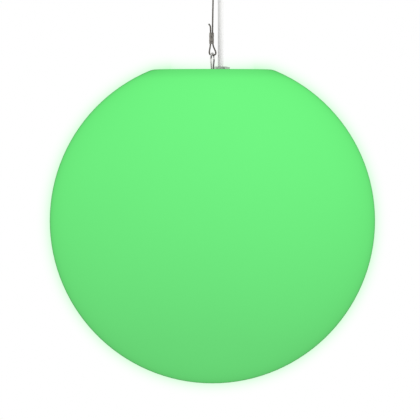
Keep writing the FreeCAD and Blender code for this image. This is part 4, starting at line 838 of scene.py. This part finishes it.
# %% [markdown]
# ## Metals
# Zinc plated steel, polished steel, nickel plated brass, plain brass, aluminium and
# rope wire are all metals: a full metallic shader whose colour tints the mirror
# image. What sets them apart is how rough they are, how much they were handled and
# what tool marked them. Scratches and dull patches come from the shared groups.

# %% Hard finishes
METAL_TONE_SIZE = 110.0
METAL_SCRATCH_SIZE = 260.0
METAL_BUMP = 0.25
METAL_BUMP_DISTANCE = 0.03 * MM
TARNISH_SHARE = 0.45
DULL_PATCH = 0.12
DULL_SCRATCH = 0.25


def metal_finish(name, colour, roughness, wear, lathe=0.0, tone=0.2, dust=0.2, tarnish=None):
    """A metal with scratches, dull patches and, if turned, lathe lines."""
    tree, shader = start_finish(name)
    toned = use_group(tree, TONE, Colour=(*colour, 1), Size=METAL_TONE_SIZE, Amount=tone)
    base = toned.outputs["Colour"]
    if tarnish:
        share = sum_up(tree, "MULTIPLY", toned.outputs["Mask"], TARNISH_SHARE)
        base = mix_colours(tree, share, base, (*tarnish, 1))
    dusty = use_group(tree, DUST, Amount=dust)
    tree.links.new(mix_colours(tree, dusty.outputs["Mask"], base, DUST_COLOUR),
                   shader.inputs["Base Color"])
    scratches = use_group(tree, SCRATCHES, Size=METAL_SCRATCH_SIZE, Amount=wear)
    dull = sum_up(tree, "MULTIPLY_ADD", toned.outputs["Mask"], DULL_PATCH, roughness)
    tree.links.new(sum_up(tree, "MULTIPLY_ADD", scratches.outputs["Mask"], DULL_SCRATCH, dull),
                   shader.inputs["Roughness"])
    shader.inputs["Metallic"].default_value = 1.0
    height = scratches.outputs["Height"]
    if lathe:
        rings = use_group(tree, TURNING, Pitch=lathe)
        height = sum_up(tree, "ADD", height, rings.outputs["Height"])
    bump_from(tree, shader, height, METAL_BUMP, METAL_BUMP_DISTANCE)


metal_finish("zinc_steel", (0.62, 0.62, 0.60), 0.34, 0.6, tone=0.35, tarnish=(0.42, 0.41, 0.38))
metal_finish("bright_steel", (0.68, 0.68, 0.66), 0.16, 0.5)
metal_finish("rope_steel", (0.29, 0.28, 0.25), 0.36, 0.3, tarnish=(0.20, 0.175, 0.14))
metal_finish("ferrule_alloy", (0.38, 0.36, 0.325), 0.48, 0.7, tone=0.25)
# Nickel is grey; the slight green cast in its colour is a painted reflection of the ball's glow,
# which mirror rays don't see
metal_finish("nickel", (0.52, 0.55, 0.52), 0.26, 0.2, lathe=0.4 * MM)
metal_finish("brass", (0.72, 0.55, 0.24), 0.26, 0.5, lathe=0.3 * MM, tarnish=(0.40, 0.26, 0.12))
print("finishes so far:", len(FINISHES))

# %% [markdown]
# ## Glowing ball
# The ball is moulded in milky polyethylene about 4 mm thick. The lamp hangs near the
# top, so the wall glows a little brighter there and fades evenly towards the foot.
# Light inside thick plastic could be traced for real, but that is slow and noisy. A
# glow colour that follows the height gives the same even look, and it dims a little
# beside the flat top, where the lid shades the wall. Light leaves a milky wall less
# readily at a slant, which darkens the rim: a thin tinted coat does that, because the
# way through it is longer at a slant.

# %% Ball finish
GLOW_TOP = (0.157, 0.871, 0.215, 1)
GLOW_FOOT = (0.146, 0.655, 0.190, 1)
GLOW_SPAN = (-0.74, 0.80)
BALL_BASE = (0.02, 0.12, 0.03)
SLANT_TINT = (0.984, 0.970, 0.979, 1)
FLAT_SHADE = (0.85, 0.85, 0.85, 1)
FLAT_SHADE_DEPTH = 14.0 * MM
GLOW_CLOUDS = 6.0
GLOW_DRIFT = 0.02

tree, shader = start_finish("globe_plastic")
toned = use_group(tree, TONE, Colour=(*BALL_BASE, 1), Size=12.0, Amount=0.05)
tree.links.new(toned.outputs["Colour"], shader.inputs["Base Color"])
place = add(tree, "ShaderNodeTexCoord").outputs["Object"]
up = add(tree, "ShaderNodeSeparateXYZ", {0: place}).outputs["Z"]
height = add(tree, "ShaderNodeMapRange", {
    "Value": up, "From Min": BALL_MIDDLE + GLOW_SPAN[0] * BALL_RADIUS,
    "From Max": BALL_MIDDLE + GLOW_SPAN[1] * BALL_RADIUS})
glow = mix_colours(tree, height.outputs[0], GLOW_FOOT, GLOW_TOP)
near_flat = add(tree, "ShaderNodeMapRange", {
    "Value": up, "From Min": FLAT_TOP - FLAT_SHADE_DEPTH, "From Max": FLAT_TOP},
    interpolation_type="SMOOTHSTEP")
glow = mix_colours(tree, near_flat.outputs[0], glow,
                   mix_colours(tree, 1.0, glow, FLAT_SHADE, blend="MULTIPLY"))
drift = use_group(tree, TONE, Colour=glow, Size=GLOW_CLOUDS, Amount=GLOW_DRIFT)
tree.links.new(drift.outputs["Colour"], shader.inputs["Emission Color"])
shader.inputs["Emission Strength"].default_value = 1.0
shader.inputs["Roughness"].default_value = 0.55
shader.inputs["Specular IOR Level"].default_value = 0.0
shader.inputs["Coat Weight"].default_value = 1.0
shader.inputs["Coat IOR"].default_value = 1.0
shader.inputs["Coat Roughness"].default_value = 0.3
shader.inputs["Coat Tint"].default_value = SLANT_TINT
grain = use_group(tree, GRAIN, Size=420.0)
bump_from(tree, shader, grain.outputs["Height"], 0.12)
print("glow from", GLOW_FOOT[:3], "to", GLOW_TOP[:3])

# %% [markdown]
# ## Lamp inside the ball
# The lamp has an opal dome over a ring of light emitters on a white board. Nobody
# sees it through the milky ball, but it is there when the lid is taken out, so its
# dome and emitters glow in the same green.

# %% Lamp finishes
LAMP_GREEN = (0.25, 1.0, 0.35, 1)

tree, shader = soft_finish("lamp_diffuser", (0.92, 0.93, 0.92), 0.35, 900.0, 0.12, dust=0.0)
shader.inputs["Emission Color"].default_value = LAMP_GREEN
shader.inputs["Emission Strength"].default_value = 0.8

tree, shader = soft_finish("emitter", (0.90, 0.85, 0.40), 0.30, 900.0, 0.1, dust=0.0)
shader.inputs["Emission Color"].default_value = LAMP_GREEN
shader.inputs["Emission Strength"].default_value = 2.0

# %% [markdown]
# ## Circuit boards
# A board's white solder mask lies over copper tracks, which show through as slightly
# raised darker lines. Real tracks could be drawn one by one. The edges of Voronoi
# cells make a net of lines that is close enough for a board that is rarely seen.

# %% Board finish
SOLDER_MASK = (0.86, 0.87, 0.85, 1)
COPPER_TRACK = (0.62, 0.70, 0.62, 1)
TRACK_EDGE = (0.10, 0.14)

tree, shader = soft_finish("board", (0.85, 0.86, 0.85), 0.30, 1000.0, 0.1, dust=0.0)
place = add(tree, "ShaderNodeTexCoord").outputs["Object"]
cells = add(tree, "ShaderNodeTexVoronoi", {"Vector": place, "Scale": 260.0},
            feature="DISTANCE_TO_EDGE", distance="EUCLIDEAN")
between = add(tree, "ShaderNodeMapRange", {
    "Value": cells.outputs["Distance"], "From Min": TRACK_EDGE[0],
    "From Max": TRACK_EDGE[1]}).outputs[0]
tree.links.new(mix_colours(tree, between, COPPER_TRACK, SOLDER_MASK),
               shader.inputs["Base Color"])
bump_from(tree, shader, between, 0.3)
print("finishes:", len(FINISHES))

# %% [markdown]
# ## Putting the finishes on
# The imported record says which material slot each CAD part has. The finishes above
# carry the same names, so one loop dresses every part, and the new pieces follow.

# %% Dress the parts
for row in frame["record"]["subparts"]:
    part = frame["nodes"][row["node"]]
    if not part.material_slots:
        part.data.materials.append(None)
    part.material_slots[0].material = FINISHES[row["material_slot"]]

new_pieces = (*cable_pieces, rope, *sleeves)
for piece in new_pieces:
    piece.data.materials.append(FINISHES[piece["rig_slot"]])

# %% [markdown]
# ## Glow that lights nothing
# The ball's glow would colour the steel, the cable and the floor green. In the
# photograph they stay grey and white. A weaker glow would dull the ball as well, so
# the ball and the collar in its top are hidden from the rays that carry light on.

# %% Keep the ball's green off the rest
for name in ("globe_shell", "well_collar"):
    frame["nodes"][name].visible_diffuse = False
    frame["nodes"][name].visible_glossy = False
print("the ball's glow lights nothing else")

# %% [markdown]
# ## Glow in the air
# The photograph shows a soft pale green light round the ball, strongest at its edge.
# On a white background a glow can't add light, so it takes red and blue away. A
# texture on a ring would only work from one side. Nested skins round the ball, each
# filled with a faint green tint, work from every side: a ray that passes close to
# the ball crosses more skins and runs longer in each.

# %% Skins of tinted air
SKIN_REACHES = (2.0, 4.0, 6.0, 8.0, 10.0, 12.0, 14.5, 17.0)
SKIN_DENSITY = 1.25
SKIN_FADE = 7.5
SKIN_TINT = (0.0, 1.0, 0.12, 1)
SKIN_SIDES = 128
RIM_ROUND = 20.0 * MM
BITE_RADIUS = 52.0 * MM
BITE_DEPTH = 3.0 * MM
SIDE_STEPS = 90
RIM_STEPS = 16
# Each skin is cut a little differently, so that no two faces lie in one place
BITE_STEP = 0.2 * MM
FOOT_STEP = 0.05 * MM


def skin_outline(reach, number):
    """Half outline (radius, height) of the ball grown by a reach, open over the well."""
    rise = FLAT_TOP - RIM_ROUND - BALL_MIDDLE
    rim = math.sqrt((BALL_RADIUS - RIM_ROUND) ** 2 - rise ** 2)
    lean = math.atan2(rise, rim)
    outline = []
    for k in range(SIDE_STEPS + 1):
        angle = -math.pi / 2 + (lean + math.pi / 2) * k / SIDE_STEPS
        outline.append(((BALL_RADIUS + reach) * math.cos(angle),
                        BALL_MIDDLE + (BALL_RADIUS + reach) * math.sin(angle)))
    for k in range(1, RIM_STEPS + 1):
        angle = lean + (math.pi / 2 - lean) * k / RIM_STEPS
        outline.append((rim + (RIM_ROUND + reach) * math.cos(angle),
                        BALL_MIDDLE + rise + (RIM_ROUND + reach) * math.sin(angle)))
    bite = BITE_RADIUS - number * BITE_STEP
    foot = FLAT_TOP - BITE_DEPTH - number * FOOT_STEP
    return outline + [(bite, FLAT_TOP + reach), (bite, foot), (0.0, foot)]


def turned_skin(name, outline):
    """A closed mesh turned about the ball's upright axis."""
    points = [(0.0, 0.0, outline[0][1]), (0.0, 0.0, outline[-1][1])]
    rows = outline[1:-1]
    for radius, height in rows:
        for k in range(SKIN_SIDES):
            angle = 2 * math.pi * k / SKIN_SIDES
            points.append((radius * math.cos(angle), radius * math.sin(angle), height))
    faces = []
    for row in range(len(rows) - 1):
        for k in range(SKIN_SIDES):
            low, high = 2 + row * SKIN_SIDES, 2 + (row + 1) * SKIN_SIDES
            after = (k + 1) % SKIN_SIDES
            faces.append((low + k, low + after, high + after, high + k))
    last = 2 + (len(rows) - 1) * SKIN_SIDES
    for k in range(SKIN_SIDES):
        after = (k + 1) % SKIN_SIDES
        faces.append((0, 2 + after, 2 + k))
        faces.append((1, last + k, last + after))
    return mesh_piece(name, points, faces)


def tinted_air(name, density):
    """A material with no surface that absorbs red and blue."""
    air = bpy.data.materials.new(name)
    air.use_nodes = True
    air.node_tree.nodes.clear()
    absorb = add(air.node_tree, "ShaderNodeVolumeAbsorption",
                 {"Color": SKIN_TINT, "Density": density})
    add(air.node_tree, "ShaderNodeOutputMaterial", {"Volume": absorb.outputs[0]})
    return air


for number, reach in enumerate(SKIN_REACHES):
    skin = turned_skin(f"air_glow_{number + 1}", skin_outline(reach * MM, number))
    skin.data.materials.append(
        tinted_air(f"air_glow_{number + 1}", SKIN_DENSITY * math.exp(-reach / SKIN_FADE)))
    skin.visible_diffuse = skin.visible_glossy = False
    skin.visible_transmission = skin.visible_shadow = False
    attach(skin, "globe")
print("skins of tinted air:", len(SKIN_REACHES))
